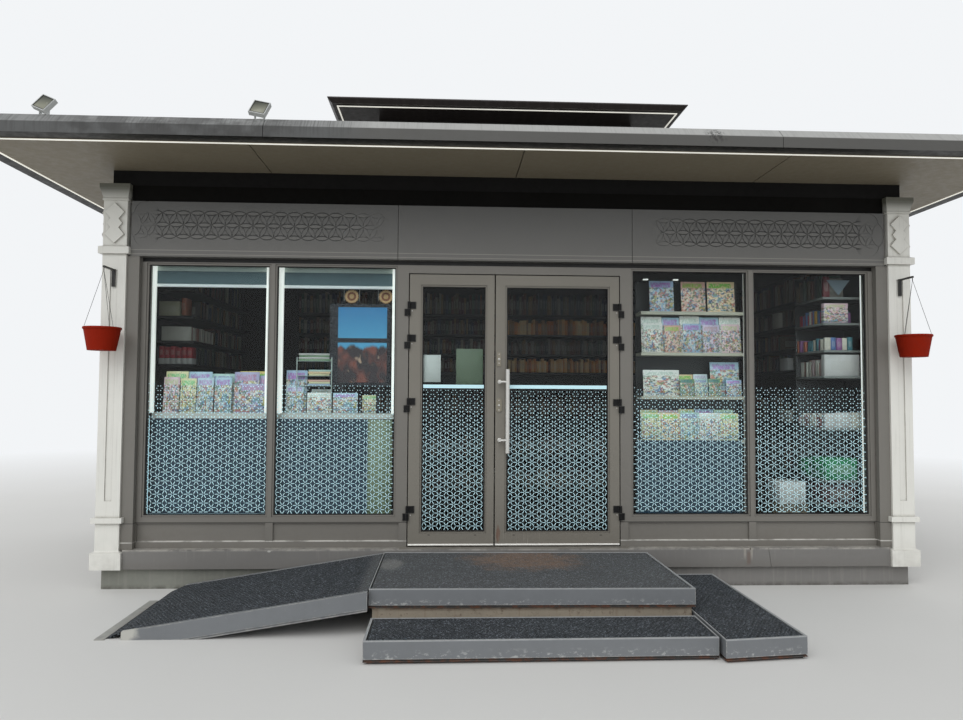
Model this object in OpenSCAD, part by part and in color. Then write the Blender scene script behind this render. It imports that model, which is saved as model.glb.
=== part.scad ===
// Street kiosk: a glazed newsstand pavilion with white corner pilasters, a wide flat canopy,
// a raised middle roof, a double door, and steel steps and a ramp in front of it.
// Millimetres. X runs to the right along the front, Y runs into the kiosk, Z is up.
// The origin is on the ground under the middle of the plinth. The modules draw from the front face
// of the corner pilasters, and place() moves them.

/* [Body] */
// Width over the corner pilasters
body_w = 6400; // [5800:50:7600]
// Depth over the corner pilasters
body_d = 3000; // [2600:50:4000]
// Height of the concrete plinth
plinth_h = 155; // [100:5:260]
// Set-back of the plinth from the pilaster faces
plinth_inset = 40; // [20:5:85]
// Height of the steel base band on the plinth
band_h = 145; // [100:5:220]
// Width of the ledge on the base band in front of the glazing
ledge_w = 70; // [50:5:100]
// Height of the sign fascia
sign_h = 430; // [340:5:520]
// Height of the dark frieze behind the capitals
frieze_h = 126; // [110:2:160]
// Height of the dark neck between the capitals and the soffit
neck_h = 119; // [80:1:180]

/* [Pilasters] */
// Width of the square pilaster shaft
shaft_w = 180; // [150:5:220]
// Projection of the collars, base and capital
collar_out = 25; // [15:1:35]
// Height of the plain block above the base
low_block_h = 205; // [160:5:260]
// Height of the lower collar
low_collar_h = 40; // [30:2:60]
// Height of the upper block with the relief
high_block_h = 353; // [300:1:420]
// Height of the collar under the upper block
high_collar_h = 62; // [40:2:80]
// Height of the thin moulding under the capital
neck_mould_h = 23; // [16:1:40]
// Width of the sunk channel in the shaft
channel_w = 55; // [40:1:80]
// Depth of the sunk channel
channel_t = 8; // [4:1:12]
// Distance of the channel's ends from the collars
channel_end = 125; // [60:5:240]
// Height of the relief above the block's face
relief_t = 18; // [6:1:22]

/* [Ornament] */
// Distance from petal to petal along a row
petal_pitch = 107; // [90:1:130]
// Width of a petal with half of the groove on each side
petal_w = 34; // [26:1:36]
// Width of the grooves round the petals
groove_w = 8; // [5:0.5:9]
// Depth of the grooves
groove_t = 4; // [2:0.5:6]
// Height of the middle row above the underside of the sign fascia
row_mid = 250; // [180:5:270]

/* [Glazing] */
// Width of the jamb next to each pilaster
jamb_w = 93; // [70:1:120]
// Width of the outer stile of the window frame
stile_w = 55; // [40:1:70]
// Width of the mullion between two panes
mullion_w = 59; // [50:1:80]
// Width of the frame's post next to the door
post_w = 49; // [40:1:70]
// Front to back depth of the window frame
frame_t = 80; // [60:2:100]
// Height of the window sill line above the floor
sill_z = 191; // [150:1:260]
// Height of the sill rail under the glass
sill_h = 60; // [40:1:90]
// Height of the glass in the windows
pane_h = 1949; // [1800:1:2000]
// Height of the frame's head above the panes
head_rail_h = 21; // [15:1:60]
// Height of the dark gap between the frame's head and the sign fascia
head_gap = 34; // [20:1:50]
// Width of the bead round a pane
bead_w = 14; // [8:1:20]
// Height of the rail under the apron panels
low_rail_h = 50; // [30:1:80]
// Thickness of a double glazed pane
glass_t = 24; // [18:1:32]
// Thickness of an apron panel
apron_t = 30; // [20:1:40]

/* [Doors] */
// Width of the door frame outside
door_w = 1800; // [1600:10:2000]
// Width of a door frame post
door_post_w = 54; // [40:1:70]
// Width of the left door leaf
left_leaf_w = 674; // [600:1:760]
// Height of the door frame's head
door_head_h = 64; // [50:1:100]
// Thickness of a door leaf
leaf_t = 50; // [40:1:60]
// Gap between a leaf and its frame
leaf_gap = 8; // [7:1:10]
// Gap between the two leaves
meeting_gap = 10; // [9:1:14]
// Width of a leaf's stiles
leaf_stile_w = 90; // [70:1:110]
// Width of the left leaf's meeting stile
meeting_stile_w = 72; // [60:1:90]
// Height of a leaf's top rail
leaf_top_h = 96; // [70:1:120]
// Height of a leaf's bottom rail
leaf_bottom_h = 110; // [80:1:160]
// Thickness of the aluminium threshold
threshold_h = 4; // [3:1:6]
// Length of the pull handle
handle_len = 660; // [500:10:900]
// Diameter of the pull handle
handle_dia = 32; // [24:1:40]
// Clear space behind the pull handle
handle_reach = 45; // [35:1:60]
// Height of the pull handle's lower end above the floor
handle_z = 738; // [600:1:900]
// Diameter of a hinge knuckle
knuckle_dia = 24; // [18:1:28]
// Height of a hinge knuckle
knuckle_h = 56; // [40:1:70]

/* [Roof] */
// Overhang of the soffit at the front and rear
eaves_y = 680; // [500:10:900]
// Overhang of the soffit at the two ends
eaves_x = 590; // [400:10:800]
// Thickness of the soffit panel
soffit_t = 20; // [12:1:30]
// Width of the dark rim under the fascia
rim_w = 125; // [80:5:180]
// Width of a soffit panel
soffit_panel_w = 1930; // [1500:10:2500]
// Height of the upright part of the fascia
fascia_h = 75; // [60:5:140]
// Height of the sloped lip above the fascia
lip_h = 70; // [40:5:100]
// Width of the light strip along the soffit's edge
strip_w = 12; // [8:1:20]
// Set-back of the raised roof from the pilaster faces
upper_inset = 700; // [500:10:800]
// Width of the raised roof
upper_w = 3230; // [2400:10:3600]
// Height of the raised roof above the canopy
upper_h = 740; // [600:10:900]
// Overhang of the raised roof
upper_eaves = 420; // [300:10:450]
// Height of the raised roof's fascia, which slopes inwards
upper_fascia_h = 44; // [30:2:90]
// Distance of the light strip from the raised roof's outer edge
upper_rim_w = 75; // [60:5:120]

/* [Steps and ramp] */
// Width of the landing
landing_w = 2040; // [1800:10:2400]
// Depth of the landing
landing_d = 1093; // [900:1:1400]
// Height of the landing above the ground
landing_z = 280; // [220:5:295]
// Height of the lower steps above the ground
step_z = 130; // [100:5:160]
// Depth of the lower step
step_d = 433; // [300:1:500]
// Width of the side step
side_step_w = 495; // [350:5:600]
// Length of the ramp's side channels along the ground
ramp_len = 1480; // [1200:10:2400]
// Width of the ramp
ramp_w = 1150; // [900:10:1400]
// Height of the ramp's channels at their low end
ramp_end_h = 50; // [30:5:60]
// Height of a frame's face
tray_h = 102; // [80:1:105]
// Width of the steel edge round a mat
edge_w = 14; // [8:1:40]
// Width of that edge where a frame meets the building, the ramp or another step
edge_thin = 6; // [4:1:20]
// Thickness of the rubber mats
mat_t = 22; // [15:1:30]
// Gap between neighbouring steel frames
frame_gap = 20; // [10:1:30]

/* [Fittings] */
// Diameter of the hanging pots at the rim
pot_dia = 260; // [200:5:300]
// Height of the hanging pots
pot_h = 170; // [120:5:220]
// Width of a floodlight
flood_w = 118; // [100:2:200]
// Height of the counter behind the left windows above the floor
counter_z = 1040; // [800:10:1200]

/* [Hidden] */

// Levels above the ground
floor_z = plinth_h + band_h;
glass_z = floor_z + sill_z + sill_h;
glass_top = glass_z + pane_h;
frame_top = glass_top + head_rail_h;
sign_z = frame_top + head_gap;
frieze_z = sign_z + sign_h;
neck_z = frieze_z + frieze_h;
soffit_z = neck_z + neck_h;
rim_z = soffit_z + 5;
fascia_top = rim_z + fascia_h;
roof_z = fascia_top + lip_h;
upper_top = roof_z + upper_h;
upper_rim_z = upper_top - upper_fascia_h;

// Half widths and other places measured from the middle of the front
half_w = body_w / 2;
base_in = half_w - shaft_w - collar_out;
jamb_in = half_w - shaft_w - jamb_w;
glass_out = jamb_in - stile_w;
door_half = door_w / 2;
glass_in = door_half + post_w;
pane_w = (glass_out - glass_in - mullion_w) / 2;
leaf_half = door_half - door_post_w - leaf_gap;
right_leaf_w = 2 * leaf_half - left_leaf_w - meeting_gap;
meeting_x = -leaf_half + left_leaf_w;
hinge_x = leaf_half + leaf_gap / 2;
leaf_y = ledge_w + 2;
hinge_y = ledge_w - knuckle_dia / 2 - 0.5;
leaf_z = floor_z + threshold_h + leaf_gap;
leaf_top = frame_top - door_head_h - leaf_gap;
leaf_h = leaf_top - leaf_z;
glass_y = ledge_w + (frame_t - glass_t) / 2;
hung_stile_w = leaf_stile_w + 13;

// Thicknesses, set-backs and gaps
wall_t = 80;
wall_inset = 50;
jamb_y = 20;
sign_y = 15;
sign_joint = 4;
sign_half = door_half + 30;
joint_gap = 1;
fascia_gap = 2;
panel_gap = 4;
fit_gap = 0.3;
bead_t = 8;
cove_r = 18;
mould_out = 8;
mould_edge = 3;
capital_edge = 30;
relief_part = 0.88;
apron_inset = 18;
board_t = 25;
wall_front = half_w - wall_inset;
wall_panel_t = 12;
wall_stile_w = 30;
inner_half = wall_front - wall_t;
inner_back = body_d - wall_inset - wall_t;
ceiling_rise = 250;
ceiling_z = glass_top + ceiling_rise;
ceiling_t = 40;
frieze_y = 30;
neck_inset = 40;
roof_top_t = 10;
fascia_joint = 1798;
strip_drop = 6;
upper_soffit_t = 8;
upper_edge_h = 8;
upper_slope = 35;
deck_z = roof_z - roof_top_t;

// Ornament
row_pitch = petal_pitch * sqrt(3) / 2;
petal_r = (pow(petal_pitch, 2) / 4 + pow(petal_w, 2) / 4) / petal_w;
petal_offset = petal_r - petal_w / 2;
groove_least = 0.2;
fade_len = 4 * petal_pitch;
plain_end = 110;
left_start = 24;
right_start = 46;

// Base band: a cover strip, a slanted open joint and a small hole at the top edge
strip_x = 1817;
cover_w = 63;
cover_t = 2;
slant_x = [2005, 2026];
slant_w = 5;
hole_x = 1854;
hole_w = 13;

// Door furniture, heights above the floor
hinge_levels = [266, 1111, 1612, 1873];
plate_w = 55;
frame_plate_w = 36;
plate_t = 8;
handle_end = 100;
handle_crank = 60;
lock_x = 28;
lock_w = 32;
lock_plate_h = 111;
lock_plate_z = 1421;
lock_oval_z = 1059;
lock_oval_h = 110;
lock_oval_w = 46;

// Planters and lamps
planter_reach = 170;
plate_z = frieze_z - 675;
plate_h = 137;
pot_z = plate_z - 500;
pot_wall = 7;
pot_fill = 15;
arm_t = 14;
lamp_x = [-3296, -1845];
lamp_y = -eaves_y - 27;
lamp_turn = [-20, -8];
lamp_lean = [24, 13];
lamp_tilt = -28;
fork_t = 5;

// Landing, steps and ramp
platform_y = -8;
landing_x = 7;
back_slant = 31;
front_slant = 26;
end_slant = [3, 20];
step_gap = 71;
step_ends = [20, -29];
step_slant = 15;
side_x = landing_x + landing_w / 2 + 13;
side_back = -118;
side_front = [-1668, -1608];
flange_gap = 9;
flange_t = 6;
flange_in = 8;
hollow_in = 44;
lip_t = 6;
leg_in = 20;
leg_t = 8;
landing_half = landing_w / 2;
landing_front = platform_y - landing_d;
ramp_x = landing_x - landing_half - 2 * end_slant[0];
ramp_back = platform_y - 12;
mat_drop = 3;
ramp_bar = 30;
landing_edges = [edge_w, edge_w, edge_thin, edge_thin];
step_edges = [edge_w, edge_thin, edge_thin, edge_w];
side_edges = [edge_w, edge_w, edge_thin, edge_thin];
channel_h = 105;
toe_len = 100;
toe_w = 60;
toe_t = 5;

// Inside
counter_y = 200;
counter_d = 300;
counter_edge_h = 45;
strip_y = ledge_w + frame_t;
strip_d = 30;
shelf_d = 320;
shelf_t = 22;
shelf_levels = [100, 480, 920, 1425, 1630, 1848, 2075];
rack_levels = [807, 1167, 1528, 1868];
rack_top = 2160;
rack_ends = [110, 45];
rack_d = 180;
rack_y = 240;
shelf_part = 0.72;
open_end = 0.24;
screen_in = 0.58;
screen_w = 0.524;
screen_tall = 1.37;
screen_foot = 220;
blind_drop = 140;
blind_t = 4;

taupe = [0.43, 0.42, 0.40];
white_paint = [0.86, 0.87, 0.85];
dark_brown = [0.16, 0.13, 0.12];
black = [0.06, 0.06, 0.06];
concrete = [0.52, 0.52, 0.50];
glass_tint = [0.55, 0.65, 0.68];
steel_grey = [0.40, 0.40, 0.42];
rust = [0.33, 0.20, 0.13];
aluminium = [0.72, 0.73, 0.74];
terracotta = [0.50, 0.14, 0.07];
counter_blue = [0.16, 0.21, 0.26];
blind_blue = [0.42, 0.46, 0.50];

// Moves what is drawn from the front face of the pilasters to the origin under the plinth
module place() {
    translate([0, -body_d / 2, 0]) children();
}

// A box given by its lowest and highest corners
module box(low, high) {
    translate(low) cube([high.x - low.x, high.y - low.y, high.z - low.z]);
}

// The shape and its mirror image across the middle of the front
module both_sides() {
    children();
    mirror([1, 0, 0]) children();
}

module plinth() place() {
    edge = half_w - plinth_inset;
    color(concrete) box([-edge, plinth_inset, 0], [edge, body_d - plinth_inset, plinth_h]);
}

// Four bars between the bases of the pilasters
module base_band() place() {
    reach = shaft_w + collar_out;
    top = slant_x[0];
    low = slant_x[1];
    color(taupe) {
        difference() {
            union() {
                box([-base_in, 0, plinth_h], [base_in, ledge_w, floor_z]);
                box([strip_x, -cover_t, plinth_h], [strip_x + cover_w, cover_t, floor_z]);
            }
            translate([0, slant_w, 0]) rotate([90, 0, 0]) linear_extrude(2 * slant_w) polygon([
                [low, plinth_h - 1], [low + slant_w, plinth_h - 1],
                [top + slant_w, floor_z + 1], [top, floor_z + 1]
            ]);
            box([hole_x, -slant_w, floor_z - hole_w], [hole_x + hole_w, 2 * hole_w, floor_z + 1]);
        }
        box([-base_in, body_d - ledge_w, plinth_h], [base_in, body_d, floor_z]);
        both_sides() box([half_w - ledge_w, reach, plinth_h], [half_w, body_d - reach, floor_z]);
    }
}

module floor() place() {
    reach = shaft_w + collar_out;
    color(steel_grey) difference() {
        box([ledge_w - half_w, ledge_w, plinth_h], [half_w - ledge_w, body_d - ledge_w, floor_z]);
        for (y = [0, body_d - reach], x = [-half_w, base_in])
            translate([x, y, 0]) cube([reach, reach, sign_z]);
    }
}

// Half outline of a pilaster: half width against height, from the base up
function pilaster_outline() =
    let (s = shaft_w / 2, w = s + collar_out, z1 = floor_z, z2 = z1 + low_block_h,
         z3 = z2 + low_collar_h, z6 = frieze_z - mould_edge, z5 = z6 - high_block_h, z4 = z5 - high_collar_h,
         z7 = z6 + neck_mould_h, z8 = neck_z)
    [
        [w, plinth_h], [w, z1 - cove_r],
        for (a = [0:15:90]) [s + (w - s) * (1 - sin(a)), z1 - cove_r * cos(a)],
        [s, z2], [w, z2], [w, z3], [s, z3],
        [s, z4], [w, z4], [w, z5 - mould_out], [s, z5],
        [s, z6], [s + mould_out, z6 + mould_edge], [s + mould_out, z7 - 2 * mould_edge],
        [s + mould_out / 2, z7], [w, z8 - capital_edge], [w, z8]
    ];

// Relief on the upper block: two large diamonds joined by a small one
module relief_outline(h) {
    half = [[0, 0.5], [0.4, 0.28], [0.17, 0.113], [0.32, 0], [0.17, -0.113], [0.4, -0.28], [0, -0.5]];
    polygon(concat(
        [for (p = half) [p.x * shaft_w, p.y * h]],
        [for (i = [len(half) - 2:-1:1]) [-half[i].x * shaft_w, half[i].y * h]]
    ));
}

// One pilaster, centred on its own axis, with a channel in each face and reliefs on two faces.
// The mouldings stop where the glazing's frame or a wall meets the shaft; frame_in and sign_in
// are the distances of that frame's face from the shaft's, under and behind the sign fascia
module pilaster(frame_in, sign_in) {
    reach = shaft_w + 2 * collar_out;
    half = shaft_w / 2;
    outline = pilaster_outline();
    full = concat(outline, [for (i = [len(outline) - 1:-1:0]) [-outline[i].x, outline[i].y]]);
    shaft_low = floor_z + low_block_h + low_collar_h + channel_end;
    block_low = frieze_z - mould_edge - high_block_h;
    shaft_high = block_low - high_collar_h - channel_end;
    color(white_paint) {
        difference() {
            intersection() {
                translate([0, reach / 2, 0]) rotate([90, 0, 0]) linear_extrude(reach) polygon(full);
                translate([-reach / 2, 0, 0]) rotate([90, 0, 90]) linear_extrude(reach) polygon(full);
            }
            for (a = [0:90:270]) rotate([0, 0, a])
                translate([-channel_w / 2, -half - 1, shaft_low])
                    cube([channel_w, channel_t + 1, shaft_high - shaft_low]);
            box([-reach, frame_in - half, floor_z], [-half, reach, sign_z]);
            box([-reach, sign_in - half, sign_z - 1], [-half, reach, frieze_z]);
            box([-reach, half, floor_z], [half - wall_inset, reach, frieze_z]);
        }
        for (a = [0, 90]) rotate([0, 0, a])
            translate([0, 1 - half, block_low + high_block_h / 2])
                rotate([90, 0, 0]) linear_extrude(relief_t + 1) relief_outline(high_block_h * relief_part);
    }
}

module corner_pilasters() place() {
    both_sides() {
        translate([half_w - shaft_w / 2, shaft_w / 2, 0]) pilaster(jamb_y, ledge_w);
        translate([half_w - shaft_w / 2, body_d - shaft_w / 2, 0])
            mirror([0, 1, 0]) pilaster(wall_inset, wall_inset);
    }
}

// Left and right ends of apron i, which reaches the frame's outer posts
function apron_ends(i) = let (x = glass_in + i * (pane_w + mullion_w))
    [i == 0 ? door_half + leaf_gap : x, i == 1 ? jamb_in - leaf_gap : x + pane_w];

// Right half of the glazing's frame: a jamb, two panes over two apron panels
module window_frame() {
    back = ledge_w + frame_t;
    difference() {
        union() {
            box([door_half, ledge_w, floor_z], [jamb_in + 1, back, frame_top]);
            box([jamb_in, jamb_y, floor_z], [half_w - shaft_w, back, sign_z]);
            box([base_in, ledge_w, sign_z - 1], [half_w - shaft_w, back, frieze_z]);
        }
        for (i = [0, 1]) {
            x = glass_in + i * (pane_w + mullion_w);
            ends = apron_ends(i);
            box([x, 0, glass_z], [x + pane_w, back + 1, glass_top]);
            box([x - bead_w, 0, glass_z - bead_w],
                [x + pane_w + bead_w, ledge_w + bead_t, glass_top + bead_w]);
            box([ends[0], 0, floor_z + low_rail_h], [ends[1], back + 1, floor_z + sill_z]);
        }
    }
}

module window_frames() place() {
    color(taupe) both_sides() window_frame();
}

module window_glass() place() {
    color(glass_tint, 0.4) both_sides() for (i = [0, 1])
        translate([glass_in + i * (pane_w + mullion_w), glass_y, glass_z]) cube([pane_w, glass_t, pane_h]);
}

module apron_panels() place() {
    y = ledge_w + apron_inset;
    color(taupe) both_sides() for (i = [0, 1])
        box([apron_ends(i)[0], y, floor_z + low_rail_h], [apron_ends(i)[1], y + apron_t, floor_z + sill_z]);
}

// Black sheet behind the gap over the frames
module head_flashing() place() {
    color(black) box([-jamb_in, ledge_w + apron_inset, frame_top], [jamb_in, ledge_w + frame_t, sign_z]);
}

module door_posts() place() {
    color(taupe) both_sides()
        box([door_half - door_post_w, ledge_w, floor_z + threshold_h],
            [door_half, ledge_w + frame_t, frame_top]);
}

module door_head() place() {
    inner = door_half - door_post_w;
    color(taupe) box([-inner, ledge_w, leaf_top + leaf_gap], [inner, ledge_w + frame_t, frame_top]);
}

module door_threshold() place() {
    color(aluminium) box([-door_half, 4, floor_z], [door_half, ledge_w + frame_t, floor_z + threshold_h]);
}

// A leaf from its left edge: stiles and rails round one tall pane
module leaf_frame(w, left_stile, right_stile) {
    color(taupe) difference() {
        cube([w, leaf_t, leaf_h]);
        box([left_stile, -1, leaf_bottom_h], [w - right_stile, leaf_t + 1, leaf_h - leaf_top_h]);
        box([left_stile - bead_w, -1, leaf_bottom_h - bead_w],
            [w - right_stile + bead_w, bead_t, leaf_h - leaf_top_h + bead_w]);
    }
}

module leaf_glass(w, left_stile, right_stile) {
    color(glass_tint, 0.4) translate([left_stile, (leaf_t - glass_t) / 2, leaf_bottom_h])
        cube([w - left_stile - right_stile, glass_t, leaf_h - leaf_bottom_h - leaf_top_h]);
}

module left_door_leaf() place() {
    translate([-leaf_half, leaf_y, leaf_z]) leaf_frame(left_leaf_w, hung_stile_w, meeting_stile_w);
}

module left_door_glass() place() {
    translate([-leaf_half, leaf_y, leaf_z]) leaf_glass(left_leaf_w, hung_stile_w, meeting_stile_w);
}

module right_door_leaf() place() {
    translate([leaf_half - right_leaf_w, leaf_y, leaf_z])
        leaf_frame(right_leaf_w, leaf_stile_w, leaf_stile_w);
}

module right_door_glass() place() {
    translate([leaf_half - right_leaf_w, leaf_y, leaf_z])
        leaf_glass(right_leaf_w, leaf_stile_w, leaf_stile_w);
}

// A round bar on two cranked stand-offs, on the meeting stile of the right leaf
module pull_handle() place() {
    x = meeting_x + meeting_gap + leaf_stile_w + 4;
    z = floor_z + handle_z;
    stem = handle_dia * 0.6;
    color(aluminium) {
        translate([x, leaf_y - handle_reach, z]) cylinder(h = handle_len, d = handle_dia, $fn = 32);
        for (end = [handle_end, handle_len - handle_end]) translate([x - handle_crank, leaf_y, z + end]) {
            rotate([90, 0, 0]) cylinder(h = handle_reach + stem / 2, d = stem, $fn = 24);
            translate([0, -handle_reach, 0]) rotate([0, 90, 0])
                cylinder(h = handle_crank, d = stem, $fn = 24);
        }
    }
}

// A cylinder lock's plate over an oval one
module lock_plates() place() {
    x = meeting_x + meeting_gap + lock_x;
    flat = lock_oval_h - lock_oval_w;
    color(aluminium) {
        box([x - lock_w / 2, leaf_y - plate_t, floor_z + lock_plate_z],
            [x + lock_w / 2, leaf_y, floor_z + lock_plate_z + lock_plate_h]);
        translate([x, leaf_y, floor_z + lock_oval_z + lock_oval_w / 2]) rotate([90, 0, 0]) {
            cylinder(h = plate_t, d = lock_oval_w, $fn = 32);
            translate([0, flat, 0]) cylinder(h = plate_t, d = lock_oval_w, $fn = 32);
            translate([-lock_oval_w / 2, 0, 0]) cube([lock_oval_w, flat, plate_t]);
        }
    }
}

// Knuckle and plate of a hinge; side is 1 for a plate to the right, -1 for one to the left,
// and face is where the plate lies
module hinge_half(x, z, side, plate, face) {
    low = side > 0 ? x : x - plate;
    translate([x, hinge_y, z]) cylinder(h = knuckle_h, d = knuckle_dia, $fn = 24);
    translate([low, face - plate_t, z]) cube([plate, plate_t, knuckle_h]);
}

module left_leaf_hinges() place() {
    color(black) for (z = hinge_levels)
        hinge_half(-hinge_x, floor_z + z, 1, plate_w, leaf_y);
}

module right_leaf_hinges() place() {
    color(black) for (z = hinge_levels)
        hinge_half(hinge_x, floor_z + z, -1, plate_w, leaf_y);
}

module frame_hinges() place() {
    color(black) for (z = hinge_levels, side = [-1, 1])
        hinge_half(side * hinge_x, floor_z + z - knuckle_h - 1, side, frame_plate_w, ledge_w);
}

// Knot i of row r of the ornament, from the panel's outer end and underside
function knot(i, r, start) =
    [start + (i + (r == 1 ? 0.5 : 0)) * petal_pitch, row_mid + (1 - r) * row_pitch];

// Width of the grooves, which shrinks towards the middle of the front
function groove_at(x, len) = groove_w * max(groove_least, min(1, (len - plain_end - x) / fade_len));

// A petal between two knots, from two arcs
module petal(a, b, gap) {
    translate((a + b) / 2) rotate(atan2(b.y - a.y, b.x - a.x)) intersection() {
        translate([0, petal_offset]) circle(petal_r - gap / 2, $fn = 96);
        translate([0, -petal_offset]) circle(petal_r - gap / 2, $fn = 96);
    }
}

// Far side of the groove on the left of the line from p to q
module groove_edge(p, q, gap) {
    along = (q - p) / norm(q - p);
    translate((p + q) / 2 + [along.y, -along.x] * petal_offset) circle(petal_r + gap / 2, $fn = 96);
}

// Raised field between three petals, its knots running anticlockwise
module field(p, q, s, gap) {
    difference() {
        polygon([p, q, s]);
        groove_edge(p, q, gap);
        groove_edge(q, s, gap);
        groove_edge(s, p, gap);
    }
}

// Face of an ornament panel: three rows of petals, joined by slanting ones, in a plain border
module ornament(len, start) {
    count = floor((len - start - plain_end) / petal_pitch);
    difference() {
        square([len, sign_h]);
        polygon([
            knot(0, 0, start), knot(count, 0, start), knot(count - 1, 1, start),
            knot(count, 2, start), knot(0, 2, start), knot(0, 1, start)
        ]);
        for (i = [0:count - 1]) {
            gap = groove_at(knot(i, 1, start).x, len);
            groove_edge(knot(i, 0, start), knot(i + 1, 0, start), gap);
            groove_edge(knot(i + 1, 2, start), knot(i, 2, start), gap);
        }
        groove_edge(knot(0, 1, start), knot(0, 0, start), groove_w);
        groove_edge(knot(0, 2, start), knot(0, 1, start), groove_w);
    }
    for (i = [0:count - 1]) {
        gap = groove_at(knot(i, 1, start).x, len);
        mid = knot(i, 1, start);
        for (r = [0, 2]) {
            near = knot(i, r, start);
            far = knot(i + 1, r, start);
            petal(near, far, gap);
            petal(near, mid, gap);
            petal(mid, far, gap);
            if (r == 0) field(near, mid, far, gap);
            else field(far, mid, near, gap);
            if (i < count - 1) {
                after = knot(i + 1, 1, start);
                if (r == 0) field(mid, after, far, gap);
                else field(after, mid, far, gap);
            }
        }
        if (i < count - 1) petal(mid, knot(i + 1, 1, start), gap);
    }
}

module ornament_panel(start) {
    low = sign_half + sign_joint;
    box([low, sign_y + groove_t, sign_z], [base_in, ledge_w + frame_t, frieze_z]);
    translate([base_in, sign_y + groove_t + joint_gap, sign_z]) mirror([1, 0, 0])
        rotate([90, 0, 0]) linear_extrude(groove_t + joint_gap) ornament(base_in - low, start);
}

module ornament_panels() place() {
    color(taupe) {
        ornament_panel(right_start);
        mirror([1, 0, 0]) ornament_panel(left_start);
    }
}

module centre_sign_panel() place() {
    color(taupe) box([-sign_half, sign_y, sign_z], [sign_half, ledge_w + frame_t, frieze_z]);
}

// Four dark bars between the capitals
module frieze() place() {
    reach = shaft_w + collar_out;
    color(dark_brown) {
        box([-base_in, frieze_y, frieze_z], [base_in, ledge_w + frame_t, neck_z]);
        box([-base_in, body_d - ledge_w - frame_t, frieze_z], [base_in, body_d - frieze_y, neck_z]);
        both_sides() box([inner_half, reach, frieze_z], [half_w - frieze_y, body_d - reach, neck_z]);
    }
}

// A wall with its outer face towards -y, split like the glazing: apron, main panel and top band
module wall_panel(len, count) {
    bay = len / count;
    cut = wall_panel_t + 1;
    difference() {
        cube([len, wall_t, frieze_z - floor_z]);
        for (i = [0:count - 1]) translate([i * bay + wall_stile_w, -1, 0]) {
            translate([0, 0, low_rail_h]) cube([bay - 2 * wall_stile_w, cut, sill_z - low_rail_h]);
            translate([0, 0, sill_z + sill_h]) cube([bay - 2 * wall_stile_w, cut, pane_h]);
        }
    }
}

module side_walls() place() {
    len = body_d - 2 * shaft_w;
    color(taupe) both_sides() translate([wall_front, shaft_w, floor_z])
        rotate([0, 0, 90]) wall_panel(len, 3);
}

module rear_wall() place() {
    len = body_w - 2 * shaft_w;
    color(taupe) translate([len / 2, body_d - wall_inset, floor_z]) rotate([0, 0, 180]) wall_panel(len, 7);
}

module ceiling() place() {
    reach = half_w - shaft_w;
    top = ceiling_z + ceiling_t;
    color(white_paint) {
        box([-reach, ledge_w + frame_t, ceiling_z], [reach, inner_back, top]);
        both_sides() box([reach, shaft_w, ceiling_z], [inner_half, body_d - shaft_w, top]);
    }
}

module roof_neck() place() {
    color(black) box([-wall_front, neck_inset, neck_z], [wall_front, body_d - neck_inset, soffit_z]);
}

// Flat panels with open joints, the middle joint over the middle of the front
module soffit() place() {
    end = half_w + eaves_x;
    cuts = [-end - panel_gap, -soffit_panel_w, 0, soffit_panel_w, end + panel_gap];
    color(taupe) for (i = [0:3])
        box([cuts[i] + panel_gap, -eaves_y, soffit_z],
            [cuts[i + 1] - panel_gap, body_d + eaves_y, soffit_z + soffit_t]);
}

// Four bars with mitred ends, a bar's profile being drawn outwards from the soffit's edge
module mitred_ring(x, y_low, y_high, out) {
    for (side = [0:3]) {
        span = side % 2 == 0 ? 2 * x : y_high - y_low;
        offset_y = side % 2 == 0 ? (y_high - y_low) / 2 : x;
        translate([0, (y_low + y_high) / 2, 0]) rotate([0, 0, 90 * side]) translate([0, -offset_y, 0])
            intersection() {
                translate([-span / 2 - out, 0, 0]) rotate([90, 0, 90])
                    linear_extrude(span + 2 * out) children();
                linear_extrude(roof_z + upper_h + 1) polygon([
                    [joint_gap - span / 2, 1], [span / 2 - joint_gap, 1],
                    [span / 2 + out + 1 - joint_gap, -out - 1], [joint_gap - span / 2 - out - 1, -out - 1]
                ]);
            }
    }
}

// Folded sheets with open joints on the long sides
module roof_fascia() place() {
    span = rim_w + eaves_y;
    color(taupe) difference() {
        mitred_ring(half_w + eaves_x, -eaves_y, body_d + eaves_y, rim_w)
            polygon([
                [0, rim_z], [-rim_w, rim_z], [-rim_w, fascia_top], [lip_h - rim_w, roof_z], [0, roof_z]
            ]);
        for (side = [-1, 1]) box([side * fascia_joint - fascia_gap, -2 * span, soffit_z],
                                 [side * fascia_joint + fascia_gap, body_d + 2 * span, roof_z + 1]);
    }
}

module strip_ring(x, y_low, y_high, z) {
    mitred_ring(x - strip_w, y_low + strip_w, y_high - strip_w, strip_w)
        polygon([[0, z - strip_drop], [-strip_w, z - strip_drop], [-strip_w, z], [0, z]]);
}

// Light strips under the edges of the canopy and of the raised roof
module soffit_strips() place() {
    inset = upper_inset + upper_rim_w;
    color("white") {
        strip_ring(half_w + eaves_x, -eaves_y, body_d + eaves_y, soffit_z);
        strip_ring(upper_w / 2 - upper_rim_w, inset, body_d - inset, upper_rim_z - upper_soffit_t);
    }
}

module roof_deck() place() {
    x = half_w + eaves_x;
    color(steel_grey) box([-x, -eaves_y, soffit_z + soffit_t], [x, body_d + eaves_y, deck_z]);
}

module upper_roof_walls() place() {
    x = upper_w / 2 - upper_eaves;
    y = upper_inset + upper_eaves;
    color(dark_brown) box([-x, y, deck_z], [x, body_d - y, upper_rim_z - upper_soffit_t]);
}

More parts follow.
